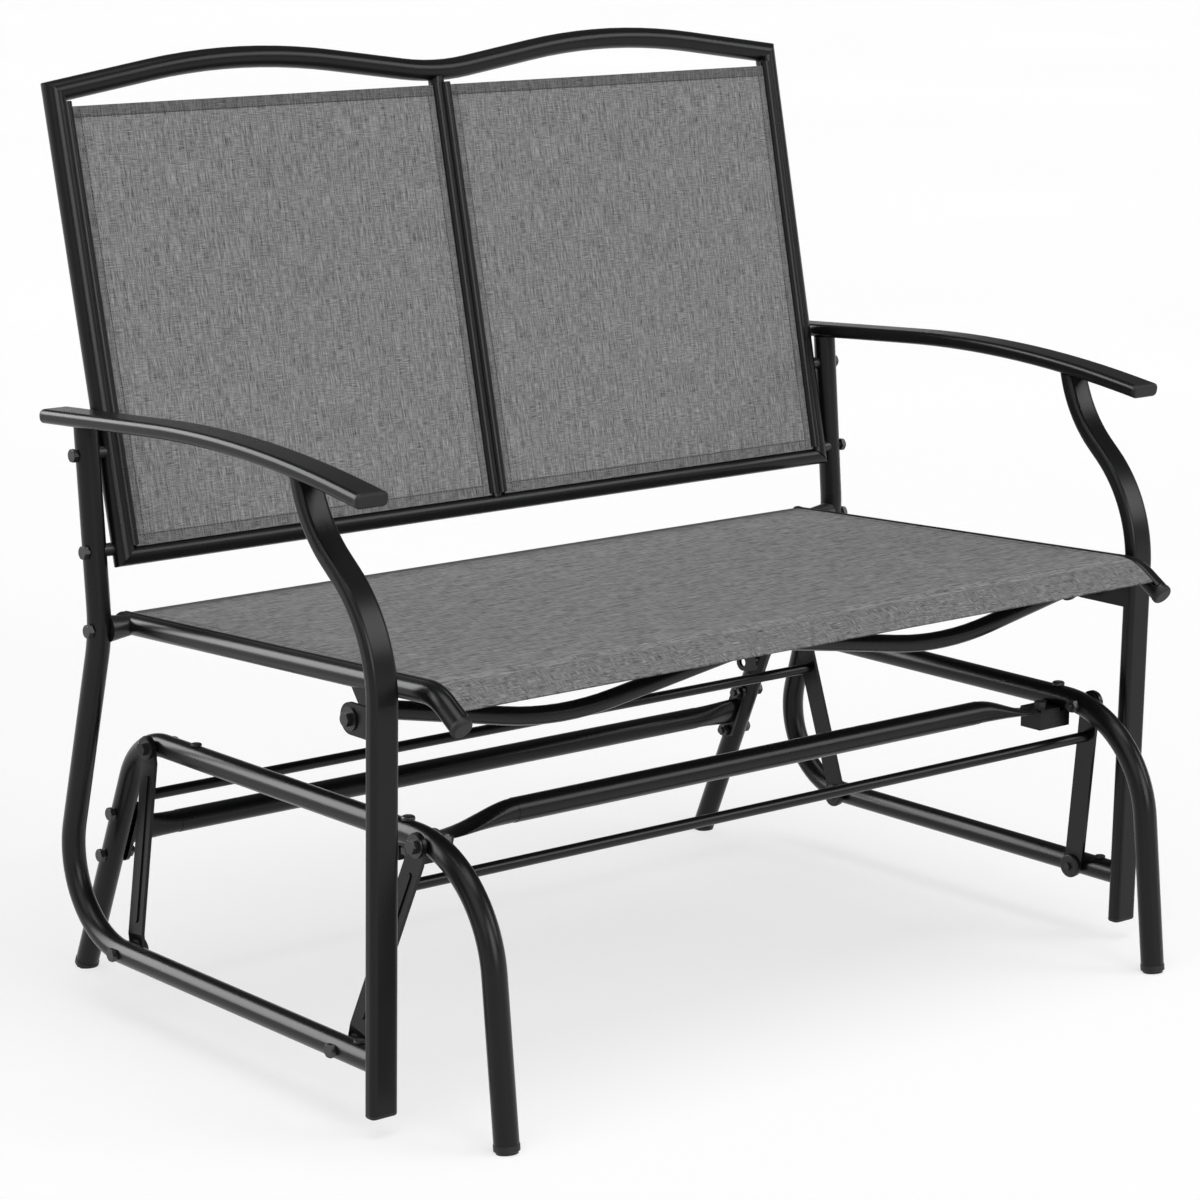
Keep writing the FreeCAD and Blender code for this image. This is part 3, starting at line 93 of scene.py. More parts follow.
class Wire:
    """One output of a material's node, with Python's operators as Math nodes."""

    def __init__(self, shader: "Shader", socket: bpy.types.NodeSocket) -> None:
        """Remember the shader and the socket.

        Args:
            shader: Tree that the socket is in.
            socket: Output that this wire starts at.
        """
        self.shader = shader
        self.socket = socket

    def math(self, operation: str, *values: Any) -> "Wire":
        """Add one Math node.

        Args:
            operation: Name of the operation.
            values: Wires or numbers for its sockets, in order.

        Returns:
            The node's result.
        """
        return self.shader.node("ShaderNodeMath", {"operation": operation}, dict(enumerate(values)))

    def __add__(self, other: Any) -> "Wire":
        """Sum of two values."""
        return self.math("ADD", self, other)

    __radd__ = __add__

    def __sub__(self, other: Any) -> "Wire":
        """This value less another."""
        return self.math("SUBTRACT", self, other)

    def __rsub__(self, other: Any) -> "Wire":
        """A number less this value."""
        return self.math("SUBTRACT", other, self)

    def __mul__(self, other: Any) -> "Wire":
        """Product of two values."""
        return self.math("MULTIPLY", self, other)

    __rmul__ = __mul__

    def spread(self, low: float, high: float) -> "Wire":
        """This value, from 0 to 1, spread between two numbers."""
        return self * (high - low) + low


class Shader:
    """A material's node tree, built from nothing."""

    def __init__(self, name: str) -> None:
        """Start an empty material.

        Args:
            name: Name of the material.
        """
        self.material = bpy.data.materials.new(name)
        self.material.use_nodes = True
        self.tree = self.material.node_tree
        self.tree.nodes.clear()

    def node(self, kind: str, settings: dict[str, Any], inputs: dict[Any, Any], output: Any = 0) -> Wire:
        """Add any node.

        Args:
            kind: Type of the node.
            settings: Values set on the node first.
            inputs: Wires or values by socket name or number.
            output: Name or number of the output to return.

        Returns:
            The chosen output.
        """
        made = self.tree.nodes.new(kind)
        for key, value in settings.items():
            setattr(made, key, value)
        for key, value in inputs.items():
            if isinstance(value, Wire):
                self.tree.links.new(value.socket, made.inputs[key])
            else:
                made.inputs[key].default_value = value
        return Wire(self, made.outputs[output])

    def coordinates(self, output: str) -> Wire:
        """Texture coordinates of one kind, in metres on this object."""
        return self.node("ShaderNodeTexCoord", {}, {}, output)

    def noise(self, place: Wire, scale: float, detail: float = 2.0) -> Wire:
        """Noise from 0 to 1.

        Args:
            place: Coordinates to read.
            scale: Cells per metre.
            detail: Octaves.

        Returns:
            The noise value.
        """
        return self.node("ShaderNodeTexNoise", {}, {"Vector": place, "Scale": scale, "Detail": detail})

    def stretched(self, place: Wire, scale: tuple[float, float, float]) -> Wire:
        """Coordinates scaled by a different factor along each axis."""
        return self.node("ShaderNodeMapping", {}, {"Vector": place, "Scale": scale})

    def blend(self, share: Wire, first: Colour, second: Colour) -> Wire:
        """Mix of two colours.

        Args:
            share: Share of the second colour.
            first: Colour where the share is 0.
            second: Colour where the share is 1.

        Returns:
            The mixed colour.
        """
        inputs = {MIX_SHARE: share, MIX_FIRST: opaque(first), MIX_SECOND: opaque(second)}
        return self.node("ShaderNodeMix", {"data_type": "RGBA"}, inputs, MIX_RESULT)

    def bump(self, height: Wire, strength: float, distance: float) -> Wire:
        """Normal of a surface with fine relief."""
        inputs = {"Height": height, "Strength": strength, "Distance": distance}
        return self.node("ShaderNodeBump", {}, inputs)

    def finish(self, **sockets: Any) -> bpy.types.Material:
        """End the tree in a Principled shader.

        Args:
            sockets: Values by socket name, with underscores for spaces.

        Returns:
            The finished material.
        """
        inputs = {name.replace("_", " "): value for name, value in sockets.items()}
        self.join_output(self.node("ShaderNodeBsdfPrincipled", {}, inputs))
        return self.material

    def join_output(self, shaded: Wire) -> None:
        """Join a shader to the material's output."""
        made = self.tree.nodes.new("ShaderNodeOutputMaterial")
        self.tree.links.new(shaded.socket, made.inputs["Surface"])


def opaque(colour: Colour) -> tuple[float, float, float, float]:
    """A colour with full alpha."""
    return (*colour, 1.0)


@dataclass(frozen=True)
class PowderCoat:
    """Satin powder coat on steel tube, with its fine orange peel."""

    name: str = "satin_black_coat"
    dark: Colour = (0.0040, 0.0041, 0.0047)
    light: Colour = (0.0064, 0.0065, 0.0073)
    roughness: Span = (0.24, 0.32)
    specular: float = 0.26
    mottle: float = 14.0
    mottle_detail: float = 4.0
    peel: float = 620.0
    peel_detail: float = 1.0
    peel_strength: float = 0.25
    peel_depth: float = 0.00012

    def material(self) -> bpy.types.Material:
        """Build the coat's material.

        Returns:
            The material.
        """
        shader = Shader(self.name)
        place = shader.coordinates("Object")
        cloud = shader.noise(place, self.mottle, self.mottle_detail)
        peel = shader.noise(place, self.peel, self.peel_detail)
        return shader.finish(
            Base_Color=shader.blend(cloud, self.dark, self.light),
            Roughness=cloud.spread(*self.roughness),
            Specular_IOR_Level=self.specular,
            Normal=shader.bump(peel, self.peel_strength, self.peel_depth),
        )


@dataclass(frozen=True)
class GrainedFinish:
    """A finish whose colour, gloss and relief all follow one fine grain."""

    name: str
    dark: Colour
    light: Colour
    roughness: Span
    specular: float
    grain: float
    detail: float
    relief_strength: float
    relief: float = 0.0001

    def material(self) -> bpy.types.Material:
        """Build the finish's material.

        Returns:
            The material.
        """
        shader = Shader(self.name)
        place = shader.coordinates("Object")
        grain = shader.noise(place, self.grain, self.detail)
        return shader.finish(
            Base_Color=shader.blend(grain, self.dark, self.light),
            Roughness=grain.spread(*self.roughness),
            Specular_IOR_Level=self.specular,
            Normal=shader.bump(grain, self.relief_strength, self.relief),
        )


@dataclass(frozen=True)
class MouldedPlastic(GrainedFinish):
    """Black moulded plastic with a fine spark-eroded grain."""

    name: str = "black_moulding"
    dark: Colour = (0.0085, 0.0085, 0.0088)
    light: Colour = (0.0145, 0.0145, 0.0150)
    roughness: Span = (0.44, 0.58)
    specular: float = 0.36
    grain: float = 900.0
    detail: float = 2.0
    relief_strength: float = 0.35


@dataclass(frozen=True)
class BlackenedSteel(GrainedFinish):
    """Black plated bolts and nuts with faint turning marks."""

    name: str = "blackened_steel"
    dark: Colour = (0.0080, 0.0080, 0.0085)
    light: Colour = (0.0200, 0.0200, 0.0210)
    roughness: Span = (0.26, 0.42)
    specular: float = 0.5
    grain: float = 260.0
    detail: float = 3.0
    relief_strength: float = 0.2


@dataclass(frozen=True)
class SewingThread(GrainedFinish):
    """Bonded thread of the hems, lighter along its plies."""

    roughness: Span = (0.5, 0.7)
    specular: float = 0.5
    grain: float = 2400.0
    detail: float = 1.0
    relief_strength: float = 0.4


@dataclass(frozen=True)
class SlingWeave:
    """Heathered plain weave of coated yarns, drawn on a UV map in metres.

    Attributes:
        name: Name of the material.
        tone: Mean brightness of the cloth.
        pitch: Distance from one yarn to the next.
        thread_contrast: Contrast between yarns.
        slub_width: Width of the light and dark lengths of yarn.
        slub_length: Length of them.
        slub_contrast: Contrast between them.
        streak_width: Width of the long streaks.
        streak_length: Length of them.
        streak_contrast: Contrast between them.
        streak_along_u: Whether they run along the first coordinate.
        upright_share: Mean share of the slubs that run along the second coordinate.
        patch: Size of the patches over which that share varies.
        patch_contrast: How much it varies.
        roughness: Roughness of a dark and of a light yarn.
        specular: Level of the highlights.
        crossing: Height of a crossing, beside 1 for the lightest yarn.
        relief: Depth of the weave.
        relief_strength: Strength of its bump.
    """

    name: str
    tone: float
    pitch: float = 0.0013
    thread_contrast: float = 0.9
    slub_width: float = 0.0009
    slub_length: float = 0.012
    slub_contrast: float = 1.25
    streak_width: float = 0.0022
    streak_length: float = 0.040
    streak_contrast: float = 0.6
    streak_along_u: bool = False
    upright_share: float = 0.56
    patch: float = 0.024
    patch_contrast: float = 2.4
    roughness: Span = (0.55, 0.8)
    specular: float = 0.25
    crossing: float = 0.4
    relief: float = 0.0003
    relief_strength: float = 0.5

    @staticmethod
    def lengths(shader: Shader, place: Wire, width: float, length: float, along_u: bool) -> Wire:
        """Light and dark lengths of the yarns that run one way.

        Args:
            shader: Material in the making.
            place: UV coordinates in metres.
            width: Width of one length in metres.
            length: Its length in metres.
            along_u: Whether the yarns run along the first coordinate.

        Returns:
            A value from 0 to 1.
        """
        scale = (1 / length, 1 / width, 1.0) if along_u else (1 / width, 1 / length, 1.0)
        return shader.noise(shader.stretched(place, scale), scale=1.0, detail=1.0)

    def material(self) -> bpy.types.Material:
        """Build the weave's material, in which a shade of one half is the cloth's own tone.

        Returns:
            The material.
        """
        shader = Shader(self.name)
        place = shader.coordinates("UV")
        thread = (self.pitch, self.slub_length)
        slub = (self.slub_width, self.slub_length)
        streak = (self.streak_width, self.streak_length)
        warp, weft = (self.lengths(shader, place, *thread, along_u) for along_u in (False, True))
        upright, level = (self.lengths(shader, place, *slub, along_u) for along_u in (False, True))
        streaks = self.lengths(shader, place, *streak, self.streak_along_u)
        cells = {"Vector": place, "Scale": 1 / self.pitch}
        over = shader.node("ShaderNodeTexChecker", {}, cells, "Fac")
        heather = warp * over + weft * (1 - over)
        patches = shader.noise(place, 1 / self.patch) - NOISE_MEAN
        patches = patches * self.patch_contrast + self.upright_share
        share = shader.node("ShaderNodeClamp", {}, {"Value": patches})
        slubs = upright * share + level * (1 - share)
        shade = (heather - NOISE_MEAN) * self.thread_contrast + (slubs - NOISE_MEAN) * self.slub_contrast
        shade = shade + (streaks - NOISE_MEAN) * self.streak_contrast + NOISE_MEAN
        light = (2 * self.tone,) * len(WHITE)
        return shader.finish(
            Base_Color=shader.blend(shade, BLACK, light),
            Roughness=heather.spread(*self.roughness),
            Specular_IOR_Level=self.specular,
            Normal=shader.bump(over * self.crossing + heather, self.relief_strength, self.relief),
        )


def only(piece: bpy.types.Object) -> None:
    """Make one object the only selected and active one."""
    bpy.ops.object.select_all(action="DESELECT")
    piece.select_set(True)
    bpy.context.view_layer.objects.active = piece


def apply_modifier(piece: bpy.types.Object, kind: str, **settings: Any) -> None:
    """Add a modifier and apply it.

    Args:
        piece: Object to change.
        kind: Type of the modifier.
        settings: Values set on it.
    """
    only(piece)
    modifier = piece.modifiers.new(kind.lower(), kind)
    for key, value in settings.items():
        setattr(modifier, key, value)
    bpy.ops.object.modifier_apply(modifier=modifier.name)


def along_line(points: list[Vector], distance: float) -> Vector:
    """Point at a distance along a line of points, or beyond its end.

    Args:
        points: Corners of the line, two or more.
        distance: Distance from its start.

    Returns:
        The point.
    """
    for first, second in zip(points, points[1:]):
        run = (second - first).length
        if distance <= run or second is points[-1]:
            break
        distance -= run
    return first.lerp(second, distance / run)


def shell_faces(columns: int, rows: int) -> list[tuple[int, ...]]:
    """Faces of a closed shell: a front layer, a back layer and the rim between them.

    Args:
        columns: Points in one row of a layer.
        rows: Rows in one layer.

    Returns:
        Point numbers of each face, with the back layer's points after the front layer's.
    """
    total = columns * rows
    faces = []
    for r in range(rows - 1):
        for c in range(columns - 1):
            corner = r * columns + c
            ring = (corner, corner + 1, corner + columns + 1, corner + columns)
            faces.append(ring)
            faces.append(tuple(total + index for index in reversed(ring)))
    rim = list(range(columns))
    rim += [r * columns + columns - 1 for r in range(1, rows)]
    rim += [(rows - 1) * columns + c for c in range(columns - 2, -1, -1)]
    rim += [r * columns for r in range(rows - 2, 0, -1)]
    for first, second in zip(rim, rim[1:] + rim[:1]):
        faces.append((first, total + first, total + second, second))
    return faces


@dataclass
class StitchRow:
    """A straight row of lockstitches that lies on cloth."""

    start: Vector
    end: Vector
    normal: Vector
    pitch: float = 0.0042
    length: float = 0.0033
    width: float = 0.0011
    segments: int = 8
    rings: int = 4

    def build(self, name: str) -> bpy.types.Object:
        """Model one stitch from a ball of unit diameter and repeat it along the row.

        Args:
            name: Name of the new object.

        Returns:
            The row of stitches.
        """
        run = self.end - self.start
        along = run.normalized()
        across = self.normal.cross(along)
        bpy.ops.object.select_all(action="DESELECT")
        bpy.ops.mesh.primitive_uv_sphere_add(segments=self.segments, ring_count=self.rings, radius=0.5)
        stitch = bpy.context.object
        stitch.name = name
        turn = Matrix((along, across, self.normal)).transposed().to_4x4()
        stitch.matrix_world = Matrix.Translation(self.start + along * (self.pitch / 2)) @ turn
        stitch.scale = (self.length, self.width, self.width)
        bpy.ops.object.transform_apply(location=True, rotation=True, scale=True)
        apply_modifier(
            stitch,
            "ARRAY",
            count=int(run.length / self.pitch),
            use_relative_offset=False,
            use_constant_offset=True,
            constant_offset_displace=along * self.pitch,
        )
        return stitch


def joined(rows: list[bpy.types.Object], finish: bpy.types.Material) -> bpy.types.Object:
    """Join rows of stitches into one piece of the carriage.

    Args:
        rows: Objects to join, the first of which stays.
        finish: Material of the whole piece.

    Returns:
        The joined piece.
    """
    bpy.ops.object.select_all(action="DESELECT")
    for row in rows:
        row.select_set(True)
    piece = rows[0]
    bpy.context.view_layer.objects.active = piece
    bpy.ops.object.join()
    piece.data.materials.append(finish)
    bpy.ops.object.shade_smooth()
    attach(piece, CARRIAGE)
    return piece


@dataclass
class Sling:
    """A taut woven panel with doubled hems and doubled strips along its tracks.

    Attributes:
        name: Name of the cloth.
        node: CAD node that it replaces.
        finishes: Materials by place; a place without one looks like the single cloth.
        thread: Material of the stitching.
        turned_last: Whether the turned hem, darkened with painted shade, is the last one along the
            panel, or else the first.
        hem: Width of a hem.
        strip: Width of a doubled strip along a track.
        layer: Height of the cloth's face over its middle.
        single_share: Depth of the single cloth's back, in layers.
        doubled_share: Depth of the doubled cloth's back, in layers.
        fold: Width of the step at a doubled edge.
        cell: Rough spacing of the mesh.
        dish: Depth to which the middle is pulled in.
        stitch_gap: Distance of the stitches from the doubled edge.
        probe: Distance to each side over which a slope is measured.
        roll_cosine: Turn from the panel's middle, as a cosine, at which its roll starts.
        facing_cosine: Least cosine between a CAD face's normal and the side that it is on.
        corner_digits: Decimals to which one corner's coordinates agree.
        smooth_angle: Sharpest edge, in degrees, that is shaded as round.
        left: Left edge as a line of points.
        right: Right edge as a line of points.
        width: Width between the edges.
        length: Length along an edge.
    """

    name: str
    node: str
    finishes: dict[ClothFinish, bpy.types.Material]
    thread: bpy.types.Material
    turned_last: bool = True
    hem: float = 0.0125
    strip: float = 0.0125
    layer: float = 0.0006
    single_share: float = 0.6
    doubled_share: float = 2.0
    fold: float = 0.0008
    cell: float = 0.012
    dish: float = 0.003
    stitch_gap: float = 0.0012
    probe: float = 0.004
    roll_cosine: float = 0.99
    facing_cosine: float = 0.5
    corner_digits: int = 5
    smooth_angle: float = 40.0
    left: list[Vector] = field(init=False)
    right: list[Vector] = field(init=False)
    width: float = field(init=False)
    length: float = field(init=False)

    def __post_init__(self) -> None:
        """Measure the panel on its CAD node."""
        self.left, self.right = self.sides()
        self.width = (self.right[0] - self.left[0]).length
        self.length = sum((second - first).length for first, second in zip(self.left, self.left[1:]))

    def outward(self) -> Vector:
        """Direction that the sitter's side of the panel faces."""
        raise NotImplementedError

    def sides(self) -> tuple[list[Vector], list[Vector]]:
        """The panel's left and right edges, as lines of points."""
        raise NotImplementedError

    def holders(self) -> list[str]:
        """Nodes whose tracks hold the panel."""
        raise NotImplementedError

    def build(self) -> list[bpy.types.Object]:
        """Make the cloth and its stitching.

        Returns:
            The cloth first, then the stitching.
        """
        cloth = self.closed_sheet()
        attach(cloth, CARRIAGE)
        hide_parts(self.node)
        stitches = self.stitching()
        self.holders()
        return [cloth, stitches]

    def cad_corners(self) -> list[Vector]:
        """Corners of the CAD node's faces on the sitter's side.

        Returns:
            The distinct corners.
        """
        mesh = frame["nodes"][self.node].data
        found: dict[tuple[float, ...], Vector] = {}
        for face in mesh.polygons:
            if face.normal.dot(self.outward()) > self.facing_cosine:
                for index in face.vertices:
                    corner = mesh.vertices[index].co
                    found[tuple(round(value, self.corner_digits) for value in corner)] = corner.copy()
        return list(found.values())

    def stations(self, length: float, edge: float) -> list[float]:
        """Distances along one side, with a pair of rows at each doubled edge.

        Args:
            length: Length of the side.
            edge: Width of its doubled edge.

        Returns:
            Distances from 0 to the length.
        """
        start = edge + self.fold
        inner = length - 2 * start
        count = round(inner / self.cell)
        middle = [start + inner * step / count for step in range(count + 1)]
        return [0.0, edge / 2, edge, *middle, length - edge, length - edge / 2, length]

    def normal_at(self, distance: float) -> Vector:
        """Direction of the sitter's side at a distance along the panel.

        Args:
            distance: Distance from the panel's start.

        Returns:
            A unit vector.
        """
        before = along_line(self.left, max(0.0, distance - self.probe))
        after = along_line(self.left, distance + self.probe)
        normal = Vector((1, 0, 0)).cross(after - before).normalized()
        return normal if normal.dot(self.outward()) > 0 else -normal

    def dish_at(self, u: float, v: float) -> float:
        """Depth of the dish at one place, whole in the middle and none at the edges.

        Args:
            u: Distance across.
            v: Distance along.

        Returns:
            The depth.
        """
        share_u, share_v = u / self.width, v / self.length
        # The product of the four shares is 1/16 in the middle
        bow = 16 * share_u * (1 - share_u) * share_v * (1 - share_v)
        return self.dish * bow * bow

    def layers_at(self, u: float, v: float) -> tuple[Vector, Vector]:
        """Points on the cloth's two faces at one place.

        Args:
            u: Distance across.
            v: Distance along.

        Returns:
            The front point and the back point.
        """
        normal = self.normal_at(v)
        middle = along_line(self.left, v).lerp(along_line(self.right, v), u / self.width)
        point = middle - normal * self.dish_at(u, v)
        edge = min(u, self.width - u) <= self.strip or min(v, self.length - v) <= self.hem
        share = self.doubled_share if edge else self.single_share
        return point + normal * self.layer, point - normal * self.layer * share

    def roll_start(self, stations: list[float]) -> float:
        """Find where the cloth starts to roll over the rails' noses.

        Args:
            stations: Distances along the panel.

        Returns:
            The first distance on the roll, or the panel's length where there is none.
        """
        flat = self.normal_at(self.length / 2)
        turns = (v for v in stations if self.normal_at(v).dot(flat) < self.roll_cosine)
        return next(turns, self.length)

    def finish_at(self, u: float, v: float, roll_start: float) -> ClothFinish:
        """Choose the finish at one place of the panel.

        Args:
            u: Distance across.
            v: Distance along.
            roll_start: Distance along at which the roll starts.

        Returns:
            The finish.
        """
        # The roll takes a darker copy of the weave: painted shade that offsets the extra light it
        # catches facing the lamps.
        if v > roll_start:
            return ClothFinish.ROLLED
        # The turned hem takes the darkest copy of the weave: painted shade of the fold and its seam.
        if (self.length - v if self.turned_last else v) < self.hem:
            return ClothFinish.TURNED
        # Doubled strips and hems take a darker copy of the weave: painted shade where less light would
        # show through two layers.
        if min(u, self.width - u) < self.strip or min(v, self.length - v) < self.hem:
            return ClothFinish.DOUBLED
        return ClothFinish.SINGLE

    def closed_sheet(self) -> bpy.types.Object:
        """Make the two faces of the cloth as one closed mesh with a UV map in metres.

        Returns:
            The cloth object.
        """
        us = self.stations(self.width, self.strip)
        vs = self.stations(self.length, self.hem)
        places = [(u, v) for v in vs for u in us]
        fronts, backs = zip(*(self.layers_at(u, v) for u, v in places))
        mesh = bpy.data.meshes.new(self.name)
        mesh.from_pydata([tuple(point) for point in fronts + backs], [], shell_faces(len(us), len(vs)))
        weave = mesh.uv_layers.new(name="weave")
        for finish in ClothFinish:
            mesh.materials.append(self.finishes.get(finish, self.finishes[ClothFinish.SINGLE]))
        roll_start = self.roll_start(vs)
        for face in mesh.polygons:
            corners = [places[index % len(places)] for index in face.vertices]
            middle_u, middle_v = (sum(values) / len(corners) for values in zip(*corners))
            face.material_index = self.finish_at(middle_u, middle_v, roll_start).value
            for loop, corner in zip(face.loop_indices, corners):
                weave.data[loop].uv = corner
        piece = bpy.data.objects.new(self.name, mesh)
        bpy.context.scene.collection.objects.link(piece)
        only(piece)
        bpy.ops.object.mode_set(mode="EDIT")
        bpy.ops.mesh.select_all(action="SELECT")
        bpy.ops.mesh.normals_make_consistent(inside=False)
        bpy.ops.object.mode_set(mode="OBJECT")
        bpy.ops.object.shade_smooth_by_angle(angle=math.radians(self.smooth_angle))
        return piece

    def stitching(self) -> bpy.types.Object:
        """Make rows of stitches just inside the hems and strips, on both faces of the cloth.

        Returns:
            One object with every row.
        """
        inset_v = self.hem - self.stitch_gap
        inset_u = self.strip - self.stitch_gap
        across = (self.right[0] - self.left[0]).normalized()
        runs = []
        for v in (inset_v, self.length - inset_v):
            runs.append((along_line(self.left, v), along_line(self.right, v), v))
        for line, inset in ((self.left, across * inset_u), (self.right, across * -inset_u)):
            done = 0.0
            for first, second in zip(line, line[1:]):
                step = (second - first).length
                if step > self.hem:
                    runs.append((first + inset, second + inset, done + step / 2))
                done += step
        rows = []
        for first, last, v in runs:
            normal = self.normal_at(v)
            for lift in (self.layer, -self.doubled_share * self.layer):
                rows.append(StitchRow(first + normal * lift, last + normal * lift, normal))
        return joined([row.build("%s_stitches" % self.name) for row in rows], self.thread)


@dataclass
class SeatSling(Sling):
    """Seat sling, which rolls over the noses of the seat rails."""

    edge_reach: float = 0.001

    def outward(self) -> Vector:
        """The sitter's side is the top."""
        return Vector((0, 0, 1))

    def holders(self) -> list[str]:
        """The seat rails hold it."""
        return ["seat_rail_left", "seat_rail_right"]

    def sides(self) -> tuple[list[Vector], list[Vector]]:
        """Find the left and right edges from the rear to the front.

        Returns:
            Both lines of points.
        """
        low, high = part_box(self.node)
        edge = [corner for corner in self.cad_corners() if abs(corner.x - low.x) < self.edge_reach]
        left = sorted(edge, key=lambda corner: -corner.y)
        right = [Vector((high.x, corner.y, corner.z)) for corner in left]
        return left, right


class BackSling(Sling):
    """One of the two back slings, flat between a stile and the centre bar."""

    def outward(self) -> Vector:
        """The sitter's side is the front."""
        return Vector((0, -1, 0))

    def holders(self) -> list[str]:
        """A stile and the centre bar hold it."""
        return ["back_stile_" + self.node.removeprefix("back_sling_"), "back_centre_bar"]

    def sides(self) -> tuple[list[Vector], list[Vector]]:
        """Find the left and right edges from the bottom to the top.

        Returns:
            Both lines of points.
        """
        corners = sorted(self.cad_corners(), key=lambda corner: corner.z)
        middle = sum(corner.x for corner in corners) / len(corners)
        left = [corner for corner in corners if corner.x < middle]
        right = [corner for corner in corners if corner.x > middle]
        return left, right


@dataclass
class BenchFrame:
    """The steel frame, its caps and its fasteners, which keep their own shapes."""

    finishes: dict[Slot, bpy.types.Material]

    def dress(self) -> int:
        """Give every carried-over node its finish.

        Returns:
            How many nodes were dressed.
        """
        count = 0
        for part in frame["record"]["subparts"]:
            slot = Slot(part["material_slot"])
            if slot in self.finishes:
                for holder in frame["nodes"][part["node"]].material_slots:
                    holder.material = self.finishes[slot]
                count += 1
        return count


@dataclass(frozen=True)
class Lamp:
    """A broad distant lamp.

    Attributes:
        name: Name of the lamp.
        bearing: Bearing from the front in degrees, to the right positive.
        height: Height over the horizon in degrees.
        strength: Light on a surface that faces the lamp.
        spread: Width of the lamp as an angle in degrees.
        gloss_only: Whether the lamp shows in reflections alone.
    """

    name: str
    bearing: float
    height: float
    strength: float
    spread: float
    gloss_only: bool = False

    def build(self) -> None:
        """Add the lamp, turned towards the bench."""
        turn = (math.pi / 2 - math.radians(self.height), 0.0, math.radians(self.bearing))
        bpy.ops.object.light_add(type="SUN", rotation=turn)
        lamp = bpy.context.object
        lamp.name = self.name
        lamp.data.energy = self.strength
        lamp.data.angle = math.radians(self.spread)
        lamp.visible_diffuse = not self.gloss_only


@dataclass
class Studio:
    """Pale floor, soft lamps and the camera of the picture, with angles in degrees."""

    floor_size: float = 80.0
    wall_height: float = 6.0
    floor_colour: Colour = (0.32, 0.32, 0.32)
    cloud_colour: Colour = (0.9, 0.9, 0.9)
    cloud_share: float = 0.06
    cloud_scale: float = 0.6
    floor_glow: float = 0.67
    sky: float = 0.12
    lamps: tuple[Lamp, ...] = (
        Lamp("softbox_lamp", bearing=-5.0, height=20.0, strength=1.2, spread=34.0),
        Lamp("right_fill_lamp", bearing=45.0, height=28.0, strength=0.75, spread=28.0),
        Lamp("left_fill_lamp", bearing=-62.0, height=35.0, strength=0.75, spread=50.0),
        Lamp("overhead_lamp", bearing=0.0, height=82.0, strength=1.42, spread=45.0),
        Lamp("strip_lamp", bearing=-146.0, height=25.0, strength=4.0, spread=48.0, gloss_only=True),
    )
    camera_place: tuple[float, float, float] = (-2.5265, -3.0785, 1.2660)
    camera_yaw: float = -39.083
    camera_dip: float = 12.046
    focal_pixels: float = 3767.0
    picture_pixels: float = 1200.0
    sensor: float = 36.0

    def build(self) -> None:
        """Make the whole studio."""
        self.floor()
        self.world()
        for lamp in self.lamps:
            lamp.build()
        self.camera()

    def floor(self) -> None:
        """A wide pale floor that keeps the shadow, turned up far away into a low wall."""
        bpy.ops.object.select_all(action="DESELECT")
        bpy.ops.mesh.primitive_plane_add(size=self.floor_size)
        floor = bpy.context.object
        floor.name = "studio_floor"
        bpy.ops.object.mode_set(mode="EDIT")
        bpy.ops.mesh.select_mode(type="EDGE")
        bpy.ops.mesh.select_all(action="SELECT")
        bpy.ops.mesh.extrude_edges_move(TRANSFORM_OT_translate={"value": (0.0, 0.0, self.wall_height)})
        bpy.ops.object.mode_set(mode="OBJECT")
        floor.data.materials.append(self.floor_material())

    def floor_material(self) -> bpy.types.Material:
        """Build a faintly clouded pale surface that glows only where it is seen or mirrored.

        Returns:
            The material.
        """
        shader = Shader("studio_floor")
        cloud = shader.noise(shader.coordinates("Object"), self.cloud_scale)
        pale = shader.blend(cloud * self.cloud_share, self.floor_colour, self.cloud_colour)
        shaded = shader.node("ShaderNodeBsdfDiffuse", {}, {"Color": pale})
        rays = ("Is Camera Ray", "Is Glossy Ray", "Is Transmission Ray")
        seen, mirrored, through = (shader.node("ShaderNodeLightPath", {}, {}, ray) for ray in rays)
        glow = (seen + mirrored + through) * self.floor_glow
        light = shader.node("ShaderNodeEmission", {}, {"Strength": glow})
        shader.join_output(shader.node("ShaderNodeAddShader", {}, {0: shaded, 1: light}))
        return shader.material

    def world(self) -> None:
        """Even pale surroundings."""
        world = bpy.data.worlds.new("studio")
        world.use_nodes = True
        surround = world.node_tree.nodes["Background"]
        surround.inputs["Color"].default_value = opaque(WHITE)
        surround.inputs["Strength"].default_value = self.sky
        bpy.context.scene.world = world

    def camera(self) -> None:
        """The picture's viewing angle."""
        turn = (math.radians(90 - self.camera_dip), 0.0, math.radians(self.camera_yaw))
        bpy.ops.object.camera_add(location=self.camera_place, rotation=turn)
        camera = bpy.context.object
        camera.data.sensor_width = self.sensor
        camera.data.lens = self.focal_pixels / self.picture_pixels * self.sensor
        camera.data.clip_end = self.floor_size
        bpy.context.scene.camera = camera


def back_finishes(turned: bpy.types.Material) -> dict[ClothFinish, bpy.types.Material]:
    """Build the back slings' materials.

    Args:
        turned: Material of the turned hem, a dark copy of the weave that paints shade on it.

    Returns:
        Materials by place.
    """
    single = SlingWeave("back_weave", tone=0.20)
    # Painted shade: a darker copy of the weave where less light would show through the doubled cloth.
    doubled = replace(single, name="back_doubled_painted_shade_weave", tone=0.15)
    return {
        ClothFinish.SINGLE: single.material(),
        ClothFinish.DOUBLED: doubled.material(),
        ClothFinish.TURNED: turned,
    }


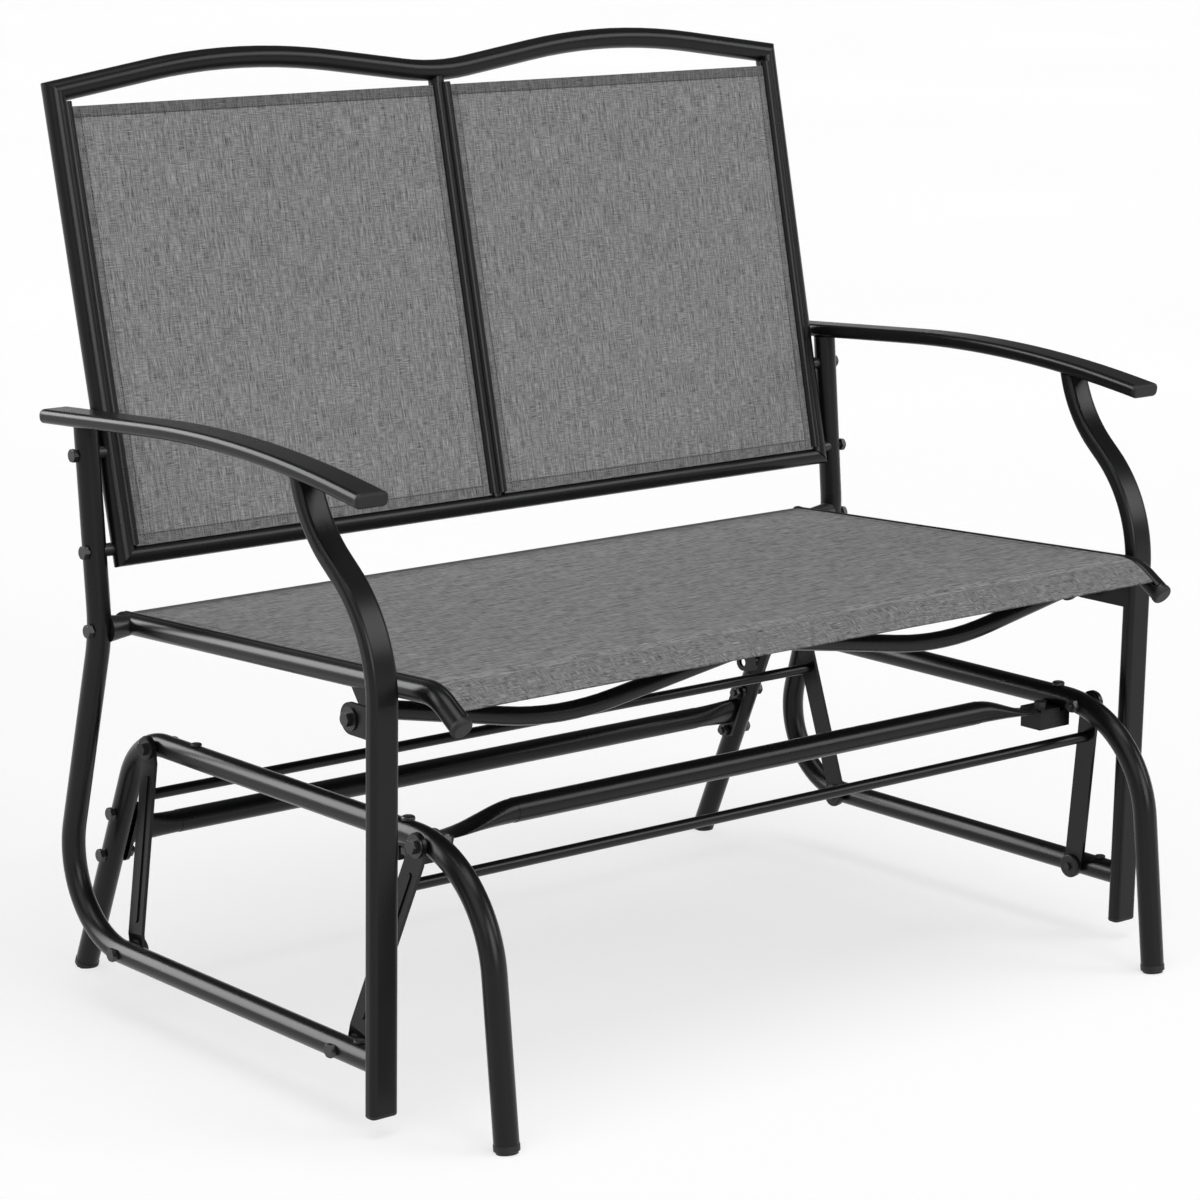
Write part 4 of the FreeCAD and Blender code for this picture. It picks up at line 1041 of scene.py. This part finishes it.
def seat_finishes(turned: bpy.types.Material) -> dict[ClothFinish, bpy.types.Material]:
    """Build the seat sling's materials.

    Args:
        turned: Material of the turned hem, a dark copy of the weave that paints shade on it.

    Returns:
        Materials by place.
    """
    single = SlingWeave(
        "seat_weave",
        tone=0.20,
        slub_width=0.0017,
        slub_length=0.014,
        slub_contrast=1.3,
        streak_width=0.0045,
        streak_contrast=0.7,
        streak_along_u=True,
        upright_share=0.4,
    )
    # Painted shade: a slightly darker copy of the weave for the doubled edges.
    doubled = replace(single, name="seat_doubled_painted_shade_weave", tone=0.19)
    # Painted shade: a darker copy of the weave on the roll over the rails' noses, offsetting the light
    # it catches facing the lamps.
    roll_painted_shade = SlingWeave(
        "seat_roll_painted_shade_weave",
        tone=0.156,
        slub_length=0.010,
        slub_contrast=2.0,
        streak_contrast=0.4,
        streak_along_u=True,
        upright_share=0.5,
    )
    return {
        ClothFinish.SINGLE: single.material(),
        ClothFinish.DOUBLED: doubled.material(),
        ClothFinish.TURNED: turned,
        ClothFinish.ROLLED: roll_painted_shade.material(),
    }


def slings() -> list[Sling]:
    """Set out the seat sling and the two back slings.

    Returns:
        The slings, ready to build.
    """
    # Painted shade: a dark copy of the weave for the turned hems, where less light shows through the
    # fold.
    turned = SlingWeave("turned_painted_shade_weave", tone=0.115).material()
    back = back_finishes(turned)
    back_thread = SewingThread("back_thread", dark=(0.020, 0.020, 0.021), light=(0.044, 0.044, 0.0462))
    back_sewing = back_thread.material()
    seat = seat_finishes(turned)
    seat_thread = SewingThread("seat_thread", dark=(0.075, 0.075, 0.077), light=(0.165, 0.165, 0.1694))
    seat_sewing = seat_thread.material()
    return [
        SeatSling("seat_cloth", "seat_sling", seat, seat_sewing, turned_last=False),
        BackSling("back_cloth_left", "back_sling_left", back, back_sewing),
        BackSling("back_cloth_right", "back_sling_right", back, back_sewing),
    ]


def main() -> None:
    """Dress the frame, make the slings and set up the studio."""
    logging.basicConfig(level=logging.INFO)
    bpy.context.scene.view_settings.view_transform = "Standard"
    finishes = {
        Slot.FRAME: PowderCoat().material(),
        Slot.FASTENER: BlackenedSteel().material(),
        Slot.PLASTIC: MouldedPlastic().material(),
    }
    LOG.info("dressed %d nodes", BenchFrame(finishes).dress())
    for sling in slings():
        for piece in sling.build():
            LOG.info("made %s with %d faces", piece.name, len(piece.data.polygons))
    Studio().build()


if __name__ == "__main__":
    main()
